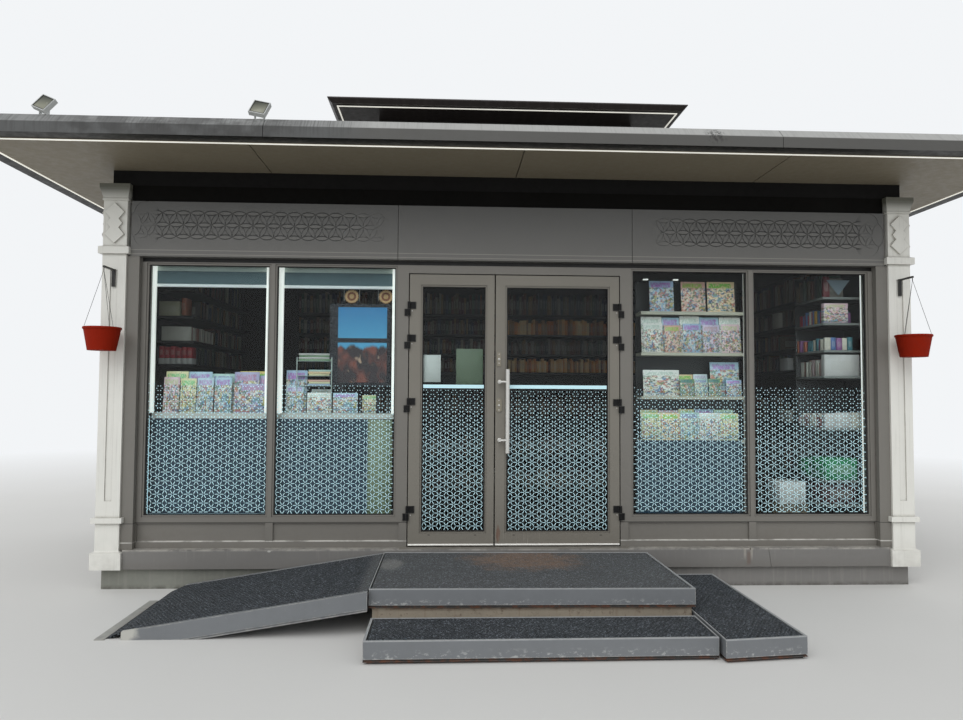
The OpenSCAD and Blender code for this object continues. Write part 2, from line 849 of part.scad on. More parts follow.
// A slab seen from one side, its edges sloping inwards from just under the top
module upper_slab(half, len) {
    translate([-len / 2, 0, 0]) rotate([90, 0, 90]) linear_extrude(len) polygon([
        [upper_slope - half, upper_rim_z], [half - upper_slope, upper_rim_z],
        [half, upper_top - upper_edge_h], [half, upper_top],
        [-half, upper_top], [-half, upper_top - upper_edge_h]
    ]);
}

module upper_roof() place() {
    x = upper_w / 2;
    y = body_d / 2 - upper_inset;
    color(dark_brown) translate([0, body_d / 2, 0]) {
        intersection() {
            upper_slab(y, upper_w);
            rotate([0, 0, 90]) upper_slab(x, 2 * y);
        }
        box([upper_rim_w - x, upper_rim_w - y, upper_rim_z - upper_soffit_t],
            [x - upper_rim_w, y - upper_rim_w, upper_rim_z]);
    }
}

// A flat lamp housing with a raised bezel, tilted forward in a fork on a foot plate
module floodlight(turn, lean) {
    w = flood_w;
    t = flood_w * 0.3;
    hub = w * 0.69;
    foot = w * 0.6;
    color(steel_grey) rotate([0, 0, turn]) {
        translate([-foot / 2, -foot / 3, 0]) cube([foot, foot * 2 / 3, fork_t]);
        for (x = [-foot / 2, foot / 2 - fork_t]) translate([x, -foot / 6, 0]) cube([fork_t, foot / 3, hub]);
        translate([0, 0, hub]) rotate([lamp_tilt, lean, 0]) difference() {
            translate([-w / 2, -t / 2, -w / 2]) cube([w, t, w]);
            translate([fork_t - w / 2, -t / 2 - 1, fork_t - w / 2])
                cube([w - 2 * fork_t, fork_t, w - 2 * fork_t]);
        }
    }
}

module floodlights() place() {
    for (i = [0, 1]) translate([lamp_x[i], lamp_y, roof_z]) floodlight(lamp_turn[i], lamp_lean[i]);
}

module planter_brackets() place() {
    x = half_w - shaft_w / 2;
    top = plate_z + plate_h;
    color(black) both_sides() {
        box([x - arm_t, -plate_t, plate_z], [x + arm_t, 0, top]);
        box([x - arm_t / 2, -planter_reach - arm_t / 2, top - arm_t], [x + arm_t / 2, -plate_t, top]);
    }
}

// A stem under each bracket's arm, and three wires from it to the pot's rim
module pot_hangers() place() {
    stem = 18;
    wire_d = 3;
    top = plate_z + plate_h - arm_t - stem;
    rim = pot_z + pot_h + joint_gap;
    spread = pot_dia / 2 - pot_wall;
    wire = norm([spread, top - rim]);
    color(black) both_sides() translate([half_w - shaft_w / 2, -planter_reach, 0]) {
        translate([0, 0, top - wire_d]) cylinder(h = stem + wire_d, d = 2 * wire_d, $fn = 16);
        for (a = [90:120:330]) rotate([0, 0, a]) translate([spread, 0, rim])
            rotate([0, -atan2(spread, top - rim), 0]) cylinder(h = wire, d = wire_d, $fn = 16);
    }
}

// Pots filled with earth to just under the rim
module hanging_pots() place() {
    color(terracotta) both_sides() translate([half_w - shaft_w / 2, -planter_reach, pot_z]) difference() {
        cylinder(h = pot_h, d1 = pot_dia * 0.76, d2 = pot_dia, $fn = 48);
        translate([0, 0, pot_h - pot_fill]) cylinder(h = pot_h, d = pot_dia - 2 * pot_wall, $fn = 48);
    }
}

// Corners of a convex outline whose side i moves inwards by d[i], the corners running
// anticlockwise and side i starting at corner i
function inset_sides(points, d) = [for (i = [0:len(points) - 1])
    let (n = len(points), before = (i + n - 1) % n, b = points[i], c = points[(i + 1) % n],
         u = (b - points[before]) / norm(b - points[before]), v = (c - b) / norm(c - b))
    b + (v * d[before] - u * d[i]) / (u.x * v.y - u.y * v.x)];

function inset(points, d) = inset_sides(points, [for (p = points) d]);

// A steel frame: a face round a sunk mat, over a recessed web and a bottom flange; edges holds
// the widths of the face's top at the front, right, back and left
module tray(outline, top, edges) {
    face = top - tray_h;
    web = face - flange_gap;
    color(steel_grey) difference() {
        union() {
            translate([0, 0, face]) linear_extrude(tray_h) polygon(outline);
            translate([0, 0, web]) linear_extrude(flange_gap + 1) polygon(inset(outline, flange_in));
            translate([0, 0, web - flange_t]) linear_extrude(flange_t) polygon(outline);
        }
        translate([0, 0, top - mat_t]) linear_extrude(mat_t + 1) polygon(inset_sides(outline, edges));
        translate([0, 0, web - flange_t - 1]) linear_extrude(tray_h - mat_t)
            polygon(inset(outline, hollow_in));
    }
}

module tray_mat(outline, top, edges) {
    translate([0, 0, top - mat_t]) linear_extrude(mat_t - mat_drop) polygon(inset_sides(outline, edges));
}

// Corners on the ground plan, from the front left one on
function landing_outline() = [
    [landing_x - landing_half - end_slant[0], landing_front],
    [landing_x + landing_half + end_slant[1], landing_front - front_slant],
    [landing_x + landing_half, platform_y - back_slant],
    [landing_x - landing_half, platform_y]
];

function step_outline() = let (back = landing_front - front_slant - step_gap) [
    [landing_x - landing_half + step_ends[0], back - step_d],
    [landing_x + landing_half + step_ends[1] + end_slant[1], back - step_d + step_slant],
    [landing_x + landing_half + step_ends[1] + end_slant[1], back],
    [landing_x - landing_half + step_ends[0], back]
];

function side_outline() = [
    [side_x, side_front[0]], [side_x + side_step_w, side_front[1]],
    [side_x + side_step_w - frame_gap, side_back], [side_x, side_back]
];

module landing_frame() place() {
    tray(landing_outline(), landing_z, landing_edges);
}

// Rusty legs and riser plates under the landing
module landing_support() place() {
    top = landing_z - tray_h - flange_gap - flange_t;
    back = platform_y - back_slant - leg_in;
    color(rust) difference() {
        linear_extrude(top) polygon(inset(landing_outline(), leg_in));
        translate([0, 0, -1]) linear_extrude(top + 2) polygon(inset(landing_outline(), leg_in + leg_t));
        box([landing_x - landing_half + 2 * leg_in, back - leg_in, -1],
            [landing_x + landing_half - 2 * leg_in, platform_y, top + 1]);
    }
}

// The lower step and the side step, each on a rusty foot
module step_frames() place() {
    for (step = [[step_outline(), step_edges], [side_outline(), side_edges]]) {
        tray(step[0], step_z, step[1]);
        foot_ring(step[0], step_z - tray_h - flange_gap - flange_t);
    }
}

module foot_ring(outline, h) {
    color(rust) difference() {
        linear_extrude(h) polygon(inset(outline, leg_in));
        translate([0, 0, -1]) linear_extrude(h + 2) polygon(inset(outline, leg_in + 2 * leg_t));
    }
}

// Level of the ramp's surface at a distance from the landing
function ramp_level(d) = landing_z - (landing_z - ramp_end_h) * d / ramp_len;

// Distance at which a line under the ramp's surface by h meets the ground
function ramp_reach(h) = (landing_z - h) * ramp_len / (landing_z - ramp_end_h);

// Two side channels with a plate between them and a thin toe plate; x runs down the ramp
module ramp_frame() place() {
    low = ramp_level(ramp_len);
    drop = channel_h + flange_gap;
    web = [
        [0, landing_z], [0, landing_z - channel_h], [ramp_reach(channel_h), 0],
        [ramp_len, 0], [ramp_len, low]
    ];
    color(steel_grey) translate([ramp_x, ramp_back, 0]) mirror([1, 0, 0]) rotate([90, 0, 0]) {
        for (y = [0, ramp_w - ramp_bar]) translate([0, 0, y]) linear_extrude(ramp_bar) polygon(web);
        for (y = [flange_in, ramp_w - ramp_bar]) translate([0, 0, y]) linear_extrude(ramp_bar - flange_in)
            polygon([
                [0, landing_z - channel_h + 1], [0, landing_z - drop - 1],
                [ramp_reach(drop + 1), 0], [ramp_reach(channel_h - 1), 0]
            ]);
        for (y = [0, ramp_w - ramp_bar]) translate([0, 0, y]) linear_extrude(ramp_bar)
            polygon([
                [0, landing_z - drop], [0, landing_z - drop - flange_t],
                [ramp_reach(drop + flange_t), 0], [ramp_reach(drop), 0]
            ]);
        translate([0, 0, ramp_bar - 1]) linear_extrude(ramp_w - 2 * ramp_bar + 2) polygon([
            [0, landing_z - mat_t], [0, landing_z - mat_t - lip_t],
            [ramp_len, low - mat_t - lip_t], [ramp_len, low - mat_t]
        ]);
    }
    color(steel_grey) box([ramp_x - ramp_len - toe_len - toe_w, ramp_back - ramp_w, 0],
                          [ramp_x - ramp_len - toe_len, ramp_back - ramp_w / 4, toe_t]);
}

// Mats sunk in the frames, the ramp's running down to the ground
module rubber_mats() place() {
    low = ramp_level(ramp_len);
    color(black) {
        tray_mat(landing_outline(), landing_z, landing_edges);
        tray_mat(step_outline(), step_z, step_edges);
        tray_mat(side_outline(), step_z, side_edges);
        translate([ramp_x, ramp_back, 0]) mirror([1, 0, 0]) rotate([90, 0, 0])
            translate([0, 0, ramp_bar]) linear_extrude(ramp_w - 2 * ramp_bar) polygon([
                [0, landing_z - mat_drop], [0, landing_z - mat_t], [ramp_len, low - mat_t],
                [ramp_len + toe_len / 2, 0], [ramp_len + toe_len - fit_gap, 0], [ramp_len, low - mat_drop]
            ]);
    }
}

// Dark panels of the low counter behind the two left windows and in front of the rack's foot
module counter_panel() place() {
    color(counter_blue) {
        box([-glass_out, counter_y, floor_z],
            [-glass_in - pane_w * open_end, counter_y + board_t, floor_z + counter_z - counter_edge_h]);
        box([glass_in + mullion_w, rack_y - board_t - joint_gap, floor_z],
            [glass_in + pane_w, rack_y - joint_gap, floor_z + rack_levels[0] + board_t]);
    }
}

// White board on the counter
module window_ledge() place() {
    color(white_paint) box([-glass_out, counter_y, floor_z + counter_z - counter_edge_h + fit_gap],
                           [-glass_in, counter_y + counter_d, floor_z + counter_z]);
}

// Framed display panel on two feet, on the ledge behind the second window
module display_screen() place() {
    low = -glass_in - pane_w * screen_in;
    w = pane_w * screen_w;
    y = counter_y + 2 * board_t;
    foot = floor_z + counter_z;
    edge = foot + screen_foot;
    color(black) {
        box([low, y, edge], [low + w, y + board_t, edge + w * screen_tall]);
        for (x = [low + w / 5, low + w * 4 / 5])
            box([x - board_t / 2, y, foot], [x + board_t / 2, y + board_t, edge + 1]);
    }
}

// Rack of shelves on a back board behind the first right window
module display_rack() place() {
    low = glass_in + rack_ends[0];
    high = glass_in + pane_w + rack_ends[1];
    back = rack_y + rack_d;
    color(white_paint) {
        box([low, back, floor_z], [high, back + shelf_t, floor_z + rack_top]);
        for (z = rack_levels)
            box([low, rack_y, floor_z + z], [high, back - fit_gap, floor_z + z + board_t]);
    }
}

// Boards on the side walls and the rear wall
module shelf_boards() place() {
    front = ledge_w + frame_t + 2 * shelf_d;
    color(dark_brown) for (z = shelf_levels) {
        both_sides()
            box([inner_half - shelf_d, front, floor_z + z],
                [inner_half, inner_back - shelf_d - joint_gap, floor_z + z + shelf_t]);
        box([-inner_half * shelf_part, inner_back - shelf_d, floor_z + z],
            [inner_half * shelf_part, inner_back, floor_z + z + shelf_t]);
    }
}

// Upright light strips behind the windows' posts: place, width and lower end
module window_lamps() place() {
    left = glass_in + pane_w;
    high = floor_z + counter_z + fit_gap;
    color("white") for (lamp = [
        [-glass_out - 20, 45, high], [-left - mullion_w - 40, 12, high],
        [-left - 10, 45, high], [-glass_in - 32, 28, high],
        [left + 10, 25, glass_z], [glass_out + 5, 25, glass_z]
    ]) box([lamp[0], strip_y, lamp[2]], [lamp[0] + lamp[1], strip_y + strip_d, frame_top]);
}

// Rolled down a little way inside the two left windows
module window_blinds() place() {
    color(blind_blue) for (i = [0, 1]) {
        x = -glass_in - i * (pane_w + mullion_w);
        y = strip_y + strip_d + blind_t;
        box([x - pane_w + blind_t, y, glass_top - blind_drop], [x - blind_t, y + blind_t, frame_top]);
    }
}

plinth();
base_band();
floor();
corner_pilasters();
window_frames();
window_glass();
apron_panels();
head_flashing();
door_posts();
door_head();
door_threshold();
left_door_leaf();
left_door_glass();
right_door_leaf();
right_door_glass();
pull_handle();
lock_plates();
left_leaf_hinges();
right_leaf_hinges();
frame_hinges();
ornament_panels();
centre_sign_panel();
frieze();
side_walls();
rear_wall();
ceiling();
roof_neck();
soffit();
roof_fascia();
soffit_strips();
roof_deck();
upper_roof_walls();
upper_roof();
floodlights();
planter_brackets();
pot_hangers();
hanging_pots();
landing_frame();
landing_support();
step_frames();
ramp_frame();
rubber_mats();
counter_panel();
window_ledge();
display_screen();
display_rack();
shelf_boards();
window_lamps();
window_blinds();
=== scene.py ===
"""Looks of the street kiosk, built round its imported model.

Lengths in this script are millimetres, with y measured from the front faces of the corner pilasters
into the kiosk, x to the right along the front and z up. piece() turns them into the frame's metres, which the
shaders read.
"""

import math

import bpy
import numpy as np
from mathutils import Matrix, Vector


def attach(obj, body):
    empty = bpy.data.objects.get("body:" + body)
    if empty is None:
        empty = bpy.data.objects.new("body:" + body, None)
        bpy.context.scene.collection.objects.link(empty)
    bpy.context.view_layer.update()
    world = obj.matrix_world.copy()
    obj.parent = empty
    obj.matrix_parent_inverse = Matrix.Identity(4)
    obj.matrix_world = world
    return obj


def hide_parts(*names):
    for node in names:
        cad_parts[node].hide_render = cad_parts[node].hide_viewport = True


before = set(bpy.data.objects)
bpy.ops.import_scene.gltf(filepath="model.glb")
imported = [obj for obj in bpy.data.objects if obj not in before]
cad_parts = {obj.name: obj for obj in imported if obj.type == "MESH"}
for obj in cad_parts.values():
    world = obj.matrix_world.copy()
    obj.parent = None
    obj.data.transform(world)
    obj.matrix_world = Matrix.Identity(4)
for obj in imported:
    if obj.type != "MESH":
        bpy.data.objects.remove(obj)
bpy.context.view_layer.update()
seed = np.random.default_rng(7)

HALF_DEPTH = 1500.0
GLASS_Z = (551.0, 2500.0)
WINDOW_GLASS = ((-2872.0, -1940.0), (-1881.0, -949.0), (949.0, 1881.0), (1940.0, 2872.0))
WINDOW_FACE = 98.0
LEAF_FACE = 85.0
LEFT_LEAF_GLASS = (-735.0, -236.0, 422.0, 2353.0)
RIGHT_LEAF_GLASS = (-64.0, 748.0, 422.0, 2353.0)


# Surfaces from numpy

def linear(red, green, blue):
    """A colour written in 0 to 255, as the shader wants it: ((c + 0.055) / 1.055) to the power 2.4, or
    c / 12.92 when dark."""
    c = np.array([red, green, blue], float) / 255
    c = np.where(c <= 0.04045, c / 12.92, ((c + 0.055) / 1.055) ** 2.4)
    return (*[float(x) for x in c], 1.0)


def inks(*colours):
    """Tints for parts of a piece, from colours written in 0 to 255."""
    return [linear(*c)[:3] for c in colours]


def piece(name, parts, finish, body="root", smooth=0.0, stands_for=()):
    """One object from parts, each (points, faces, tint, uv): points are in mm, in an array of any shape that ends
    in 3, faces an array or several arrays of corner numbers, tint a colour and uv a pair for every point, both of
    them optional."""
    points, corners, counts, tints, maps, start = [], [], [], [], [], 0
    for part in parts:
        p, faces, tint, uv = (*part, None, None)[:4]
        p = np.asarray(p, float).reshape(-1, 3)
        for f in faces if isinstance(faces, (list, tuple)) else [faces]:
            f = np.asarray(f)
            corners.append((f + start).ravel())
            counts.append(np.full(len(f), f.shape[1]))
        points.append(p)
        tints.append(np.broadcast_to((1.0, 1.0, 1.0) if tint is None else tint, p.shape))
        maps.append(np.zeros((len(p), 2)) if uv is None else np.asarray(uv, float).reshape(-1, 2))
        start += len(p)
    points, corners, counts = np.concatenate(points), np.concatenate(corners), np.concatenate(counts)
    mesh = bpy.data.meshes.new(name)
    mesh.vertices.add(len(points))
    mesh.vertices.foreach_set("co", ((points - (0, HALF_DEPTH, 0)) / 1000).ravel())
    mesh.loops.add(len(corners))
    mesh.loops.foreach_set("vertex_index", corners.astype(np.int32))
    mesh.polygons.add(len(counts))
    mesh.polygons.foreach_set("loop_start", (np.cumsum(counts) - counts).astype(np.int32))
    mesh.update(calc_edges=True)
    mesh.validate()
    tint = mesh.color_attributes.new("tint", "FLOAT_COLOR", "POINT")
    colours = np.concatenate([np.concatenate(tints), np.ones((len(points), 1))], axis=1)
    tint.data.foreach_set("color", colours.ravel())
    uv = mesh.uv_layers.new(name="map")
    uv.data.foreach_set("uv", np.concatenate(maps)[corners].ravel())
    if smooth:
        mesh.shade_smooth()
        mesh.set_sharp_from_angle(angle=math.radians(smooth))
    mesh.materials.append(finish)
    made = bpy.data.objects.new(name, mesh)
    bpy.context.scene.collection.objects.link(made)
    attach(made, body)
    if stands_for:
        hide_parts(*stands_for)
    return made


def grid_faces(rows, columns, wrap_rows=False, wrap_columns=False):
    """Quads of a grid of rows by columns points: each joins a point to the next in its row and in its column."""
    r = np.arange(rows if wrap_rows else rows - 1)[:, None]
    c = np.arange(columns if wrap_columns else columns - 1)[None, :]
    a, b = r * columns + c, r * columns + (c + 1) % columns
    d, e = (r + 1) % rows * columns + c, (r + 1) % rows * columns + (c + 1) % columns
    return np.stack([a, b, e, d], axis=-1).reshape(-1, 4)


def block_faces():
    """Faces of a chamfered block whose corner c has the points 3c, 3c + 1 and 3c + 2 on its x, y and z faces."""
    quads, triangles = [], []
    for axis in range(3):
        u, v = (axis + 1) % 3, (axis + 2) % 3
        for side in (0, 1):
            face = [3 * (side << axis | a << u | b << v) + axis for a, b in ((0, 0), (1, 0), (1, 1), (0, 1))]
            quads.append(face if side else face[::-1])
        for a, b in ((0, 0), (0, 1), (1, 0), (1, 1)):
            low, high = a << u | b << v, 1 << axis | a << u | b << v
            strip = [3 * low + u, 3 * low + v, 3 * high + v, 3 * high + u]
            quads.append(strip if a == b else strip[::-1])
    for corner in range(8):
        tip = [3 * corner, 3 * corner + 1, 3 * corner + 2]
        triangles.append(tip if bin(corner).count("1") % 2 else tip[::-1])
    return np.array(quads), np.array(triangles)


BLOCK_QUADS, BLOCK_TRIANGLES = block_faces()


def blocks(low, high, edge=2.0, tint=None, lean=0.0, turn=0.0):
    """Chamfered blocks from their lowest and highest corners. A corner's three points lie on its faces,
    edge mm in from the other two. lean moves a point back by lean times its height over the block's foot,
    turn swings it about the block's upright middle line by that many degrees. Maps run 0 to 1 across the front."""
    low, high = np.atleast_2d(np.asarray(low, float)), np.atleast_2d(np.asarray(high, float))
    n = len(low)
    bits = (np.arange(8)[:, None] >> np.arange(3)) & 1
    inward = (1 - 2 * bits)[:, None, :] * (1 - np.eye(3))[None]
    corner = np.where(bits[None], high[:, None], low[:, None])
    edge = np.minimum(np.broadcast_to(np.asarray(edge, float), n), 0.45 * (high - low).min(axis=1))
    p = corner[:, :, None, :] + inward[None] * edge[:, None, None, None]
    uv = ((p - low[:, None, None]) / (high - low)[:, None, None])[..., [0, 2]]
    p[..., 1] += np.reshape(lean, (-1, 1, 1)) * (p[..., 2] - low[:, None, None, 2])
    a = np.radians(np.reshape(turn, (-1, 1, 1)))
    mid = (low + high)[:, None, None] / 2
    x, y = p[..., 0] - mid[..., 0], p[..., 1] - mid[..., 1]
    p[..., 0], p[..., 1] = mid[..., 0] + x * np.cos(a) - y * np.sin(a), mid[..., 1] + x * np.sin(a) + y * np.cos(a)
    step = 24 * np.arange(n)[:, None, None]
    tints = None if tint is None else np.repeat(np.broadcast_to(tint, (n, 3)), 24, axis=0)
    return p, [(BLOCK_QUADS + step).reshape(-1, 4), (BLOCK_TRIANGLES + step).reshape(-1, 3)], tints, uv


def upright_ring(rect, profile):
    """A closed profile of (inward distance, y) points carried round an upright rectangle (x0, x1, z0, z1),
    with mitred corners: a point stands its inward distance in from both sides that meet at a corner."""
    x0, x1, z0, z1 = rect
    d, y = np.asarray(profile, float).T
    x = np.stack([x0 + d, x1 - d, x1 - d, x0 + d])
    z = np.stack([z0 + d, z0 + d, z1 - d, z1 - d])
    p = np.stack([x, np.broadcast_to(y, x.shape), z], axis=-1)
    return p, grid_faces(4, len(d), True, True)


def turned(profile, centre, axis="z", sides=24):
    """A profile of (radius, distance along the axis) points turned about an axis through centre.
    A radius of 0 closes an end."""
    r, h = np.asarray(profile, float).T
    a = np.linspace(0, 2 * np.pi, sides, endpoint=False)
    u, v, w = r[:, None] * np.cos(a), r[:, None] * np.sin(a), np.repeat(h[:, None], sides, axis=1)
    order = {"z": (u, v, w), "y": (v, w, u), "x": (w, u, v)}[axis]
    return np.stack(order, axis=-1) + np.asarray(centre, float), grid_faces(len(r), sides, False, True)


def moved(part, matrix, offset):
    """The part with its points turned by a 3 by 3 matrix and then moved by offset."""
    return (np.asarray(part[0]) @ np.asarray(matrix).T + offset, *part[1:])


def inset(points, edges):
    """Corners of a convex outline, running anticlockwise from the front left, whose side i has moved inwards by
    edges[i]: a corner goes along each of its sides by the other side's distance over the sine of their turn."""
    b, d = np.asarray(points, float), np.asarray(edges, float)[:, None]
    u, v = b - np.roll(b, 1, axis=0), np.roll(b, -1, axis=0) - b
    u, v = u / np.linalg.norm(u, axis=1)[:, None], v / np.linalg.norm(v, axis=1)[:, None]
    return b + (v * np.roll(d, 1, axis=0) - u * d) / (u[:, :1] * v[:, 1:] - u[:, 1:] * v[:, :1])


def keep_inside(p, outline):
    """Points that lie outside a convex outline are pushed square on to the side they are beyond."""
    a = np.asarray(outline, float)
    along = np.roll(a, -1, axis=0) - a
    inward = np.stack([-along[:, 1], along[:, 0]], axis=-1) / np.linalg.norm(along, axis=1)[:, None]
    for start, n in zip(a, inward):
        p = p - np.minimum((p - start) @ n, 0)[..., None] * n
    return p


RING_PITCH, HOLE_SHARE, RING_DEPTH = 24.0, 0.66, 13


def ring_mat(outline, top, low):
    """A mat of six-sided rubber rings on a hexagonal lattice, cut to a convex outline: the flat top between
    a cell's border and its hole, and the hole's walls. top and low give the mat's two levels from x."""
    outline = np.asarray(outline, float)
    lo, hi = outline.min(axis=0), outline.max(axis=0)
    rows = np.arange(lo[1], hi[1] + RING_PITCH, RING_PITCH * math.sqrt(3) / 2)
    columns = np.arange(lo[0] - RING_PITCH, hi[0] + RING_PITCH, RING_PITCH)
    x = columns[None, :] + (np.arange(len(rows)) % 2)[:, None] * RING_PITCH / 2
    centre = np.stack([x, np.broadcast_to(rows[:, None], x.shape)], axis=-1).reshape(-1, 2)
    centre = centre[np.abs(keep_inside(centre, outline) - centre).max(axis=1) < 0.42 * RING_PITCH]
    a = np.radians(30 + 60 * np.arange(6))
    hexagon = np.stack([np.cos(a), np.sin(a)], axis=-1) * RING_PITCH / math.sqrt(3)
    rim = keep_inside(centre[:, None] + hexagon, outline)
    hole = keep_inside(centre[:, None] + hexagon * HOLE_SHARE, outline)
    lift = np.random.default_rng(3).normal(0, 0.35, len(centre))[:, None]
    foot = np.maximum(top(hole[..., 0]) - RING_DEPTH, low(hole[..., 0]) + 1)
    levels = [top(rim[..., 0]), top(hole[..., 0]) + lift, foot]
    p = np.stack([np.concatenate([xy, z[..., None]], axis=-1) for xy, z in zip((rim, hole, hole), levels)], axis=1)
    faces = grid_faces(3, 6, False, True)[None] + 18 * np.arange(len(centre))[:, None, None]
    return p, faces.reshape(-1, 4)[:, ::-1]


def mat_bed(outline, top, low, steps=2):
    """The sheet under the rings: walls from the mat's top down its outline, and a floor 12 mm down that
    follows the top from end to end."""
    outline = np.asarray(outline, float)
    n, x = len(outline), outline[:, 0]
    p = np.concatenate([np.column_stack([outline, side(x)]) for side in (top, low)])
    walls = np.array([[i, n + i, n + (i + 1) % n, (i + 1) % n] for i in range(n)])
    s = np.linspace(0, 1, steps)
    left, right = outline[[0, 3]], outline[[1, 2]]
    line = left[None] + (right - left)[None] * s[:, None, None]
    z = np.maximum(top(line[..., 0]) - 12, low(line[..., 0]) + 0.6)
    floor = np.concatenate([line, z[..., None]], axis=-1)
    return [(p, walls[:, ::-1]), (floor, grid_faces(steps, 2)[:, ::-1])]


DASH_OUT, DASH_HALF, DOT_HALF, DASH_WIDTH = 20.5, 14.0, 4.0, 4.8
DASH_FADE = (1080.0, 1510.0)


def star_film(rect, anchor, step, face):
    """Stars on a lattice whose neighbouring columns are half a row apart, as flat shapes: six dashes with
    rounded ends stand round each knot, DASH_OUT from it, and point between the knot's neighbours. step is the
    distance from column to column and from row to row. Between the heights of DASH_FADE a dash shrinks to a dot."""
    x0, x1, z0, z1 = rect
    i = np.arange(math.floor((x0 - anchor[0]) / step[0]) - 1, math.ceil((x1 - anchor[0]) / step[0]) + 2)
    j = np.arange(math.floor((z0 - anchor[1]) / step[1]) - 1, math.ceil((z1 - anchor[1]) / step[1]) + 2)
    x = np.broadcast_to(anchor[0] + i[:, None] * step[0], (len(i), len(j)))
    z = anchor[1] + (j[None] + (i[:, None] % 2) / 2) * step[1]
    a = np.radians(60 * np.arange(6))
    x, z = x[..., None] + DASH_OUT * np.cos(a), z[..., None] + DASH_OUT * np.sin(a)
    a = np.broadcast_to(a, x.shape)
    inside = (x > x0 + 2) & (x < x1 - 2) & (z > z0 + 2) & (z < z1 - 2)
    x, z, a = x[inside][:, None], z[inside][:, None], a[inside][:, None]
    half = np.interp(z, DASH_FADE, (DASH_HALF, DOT_HALF))
    side = np.interp(z, DASH_FADE, (DASH_WIDTH / 2, 0.62 * DASH_WIDTH))
    t = np.radians([-90, -45, 0, 45, 90, 90, 135, 180, 225, 270])
    along = np.repeat([1, -1], 5) * (half - side) + side * np.cos(t)
    across = side * np.sin(t)
    p = np.stack([np.clip(x + along * np.cos(a) - across * np.sin(a), x0, x1), np.full(along.shape, face),
                  np.clip(z + along * np.sin(a) + across * np.cos(a), z0, z1)], axis=-1)
    return p, np.arange(10 * len(p)).reshape(-1, 10)


def upright_sheet(x0, x1, z0, z1, y):
    """A flat rectangle that faces the front, its map running 0 to 1 across and up."""
    p = [[x0, y, z0], [x1, y, z0], [x1, y, z1], [x0, y, z1]]
    return p, np.array([[0, 1, 2, 3]]), None, [[0, 0], [1, 0], [1, 1], [0, 1]]


# Nodes, groups and finishes

class Recipe:
    """The nodes of one material or group, added one after another."""

    def __init__(self, tree):
        self.tree = tree
        tree.nodes.clear()

    def feed(self, socket, value):
        """Links a socket to another one, or sets its value."""
        if isinstance(value, bpy.types.NodeSocket):
            self.tree.links.new(value, socket)
        else:
            socket.default_value = value

    def node(self, kind, inputs=None, out=0, **settings):
        made = self.tree.nodes.new("ShaderNode" + kind)
        for name, value in settings.items():
            setattr(made, name, value)
        for name, value in (inputs or {}).items():
            self.feed(made.inputs[name], value)
        return made if out is None else made.outputs[out]

    def place(self):
        return self.node("TexCoord", out="Object")

    def split(self, vector):
        return self.node("SeparateXYZ", {"Vector": vector}, out=None).outputs

    def map(self):
        return self.node("UVMap", uv_map="map")

    def xyz(self):
        """The three coordinates, in the frame's metres."""
        return self.split(self.place())

    def up(self, kind="Normal"):
        """How far a face looks up: its normal's z."""
        return self.split(self.node("NewGeometry", out=kind))[2]

    def noise(self, vector, scale, detail=3.0, rough=0.5):
        inputs = {"Vector": vector, "Scale": scale, "Detail": detail, "Roughness": rough}
        return self.node("TexNoise", inputs, out="Fac")

    def spread(self, vector, x, y, z):
        return self.node("VectorMath", {0: vector, 1: (x, y, z)}, operation="MULTIPLY")

    def math(self, a, b, kind):
        return self.node("Math", {0: a, 1: b}, operation=kind)

    def mul(self, first, *others):
        """The product of all the values."""
        for value in others:
            first = self.math(first, value, "MULTIPLY")
        return first

    def between(self, value, low, high, to_low=0.0, to_high=1.0):
        return self.node("MapRange", {"Value": value, "From Min": low, "From Max": high,
                                      "To Min": to_low, "To Max": to_high}, out="Result")

    def band(self, value, start, end, soft):
        """1 between start and end, falling to 0 over soft on both sides."""
        rise = self.between(value, start - soft, start)
        return self.mul(rise, self.between(value, end, end + soft, 1.0, 0.0))

    def cloud(self, scale, low, high, *to, detail=4.0, rough=0.6):
        """Noise whose part from low to high is stretched to 0 to 1, or to the two values given."""
        return self.between(self.noise(self.place(), scale, detail, rough), low, high, *to)

    def ragged(self, scale, low=0.36, high=0.6, *to):
        """Noise turned into patches with broken borders."""
        return self.cloud(scale, low, high, *to, detail=5.0, rough=0.7)

    def over(self, colour, mask, layer):
        """The layer's colour laid over the colour where the mask is 1."""
        made = self.node("Mix", out=None, data_type="RGBA")
        for number, value in ((0, mask), (6, colour), (7, layer)):
            self.feed(made.inputs[number], value)
        return made.outputs[2]

    def layers(self, colour, *rows):
        """Layers laid over the colour one after another. A row has the layer's colour, written in 0 to 255 or
        read from a socket, and the factors whose product is its mask."""
        for ink, *factors in rows:
            colour = self.over(colour, self.mul(*factors), linear(*ink) if isinstance(ink, tuple) else ink)
        return colour

    def use(self, group, *values):
        """A group's outputs, its inputs taking the values in their order."""
        made = self.node("Group", out=None, node_tree=group)
        for socket, value in zip(made.inputs, values):
            self.feed(socket, value)
        return made.outputs

    def mask(self, group, *values):
        return self.use(group, *values)["Mask"]


def group(name, inputs, outputs, build):
    """A shader group with named number inputs and outputs, whose nodes build() adds."""
    tree = bpy.data.node_groups.new(name, "ShaderNodeTree")
    recipe = Recipe(tree)
    for label, value in inputs.items():
        tree.interface.new_socket(label, in_out="INPUT", socket_type="NodeSocketFloat").default_value = value
    for label in outputs:
        tree.interface.new_socket(label, in_out="OUTPUT", socket_type="NodeSocketFloat")
    given = tree.nodes.new("NodeGroupInput").outputs
    end = tree.nodes.new("NodeGroupOutput")
    for label, socket in zip(outputs, build(recipe, given)):
        tree.links.new(socket, end.inputs[label])
    return tree


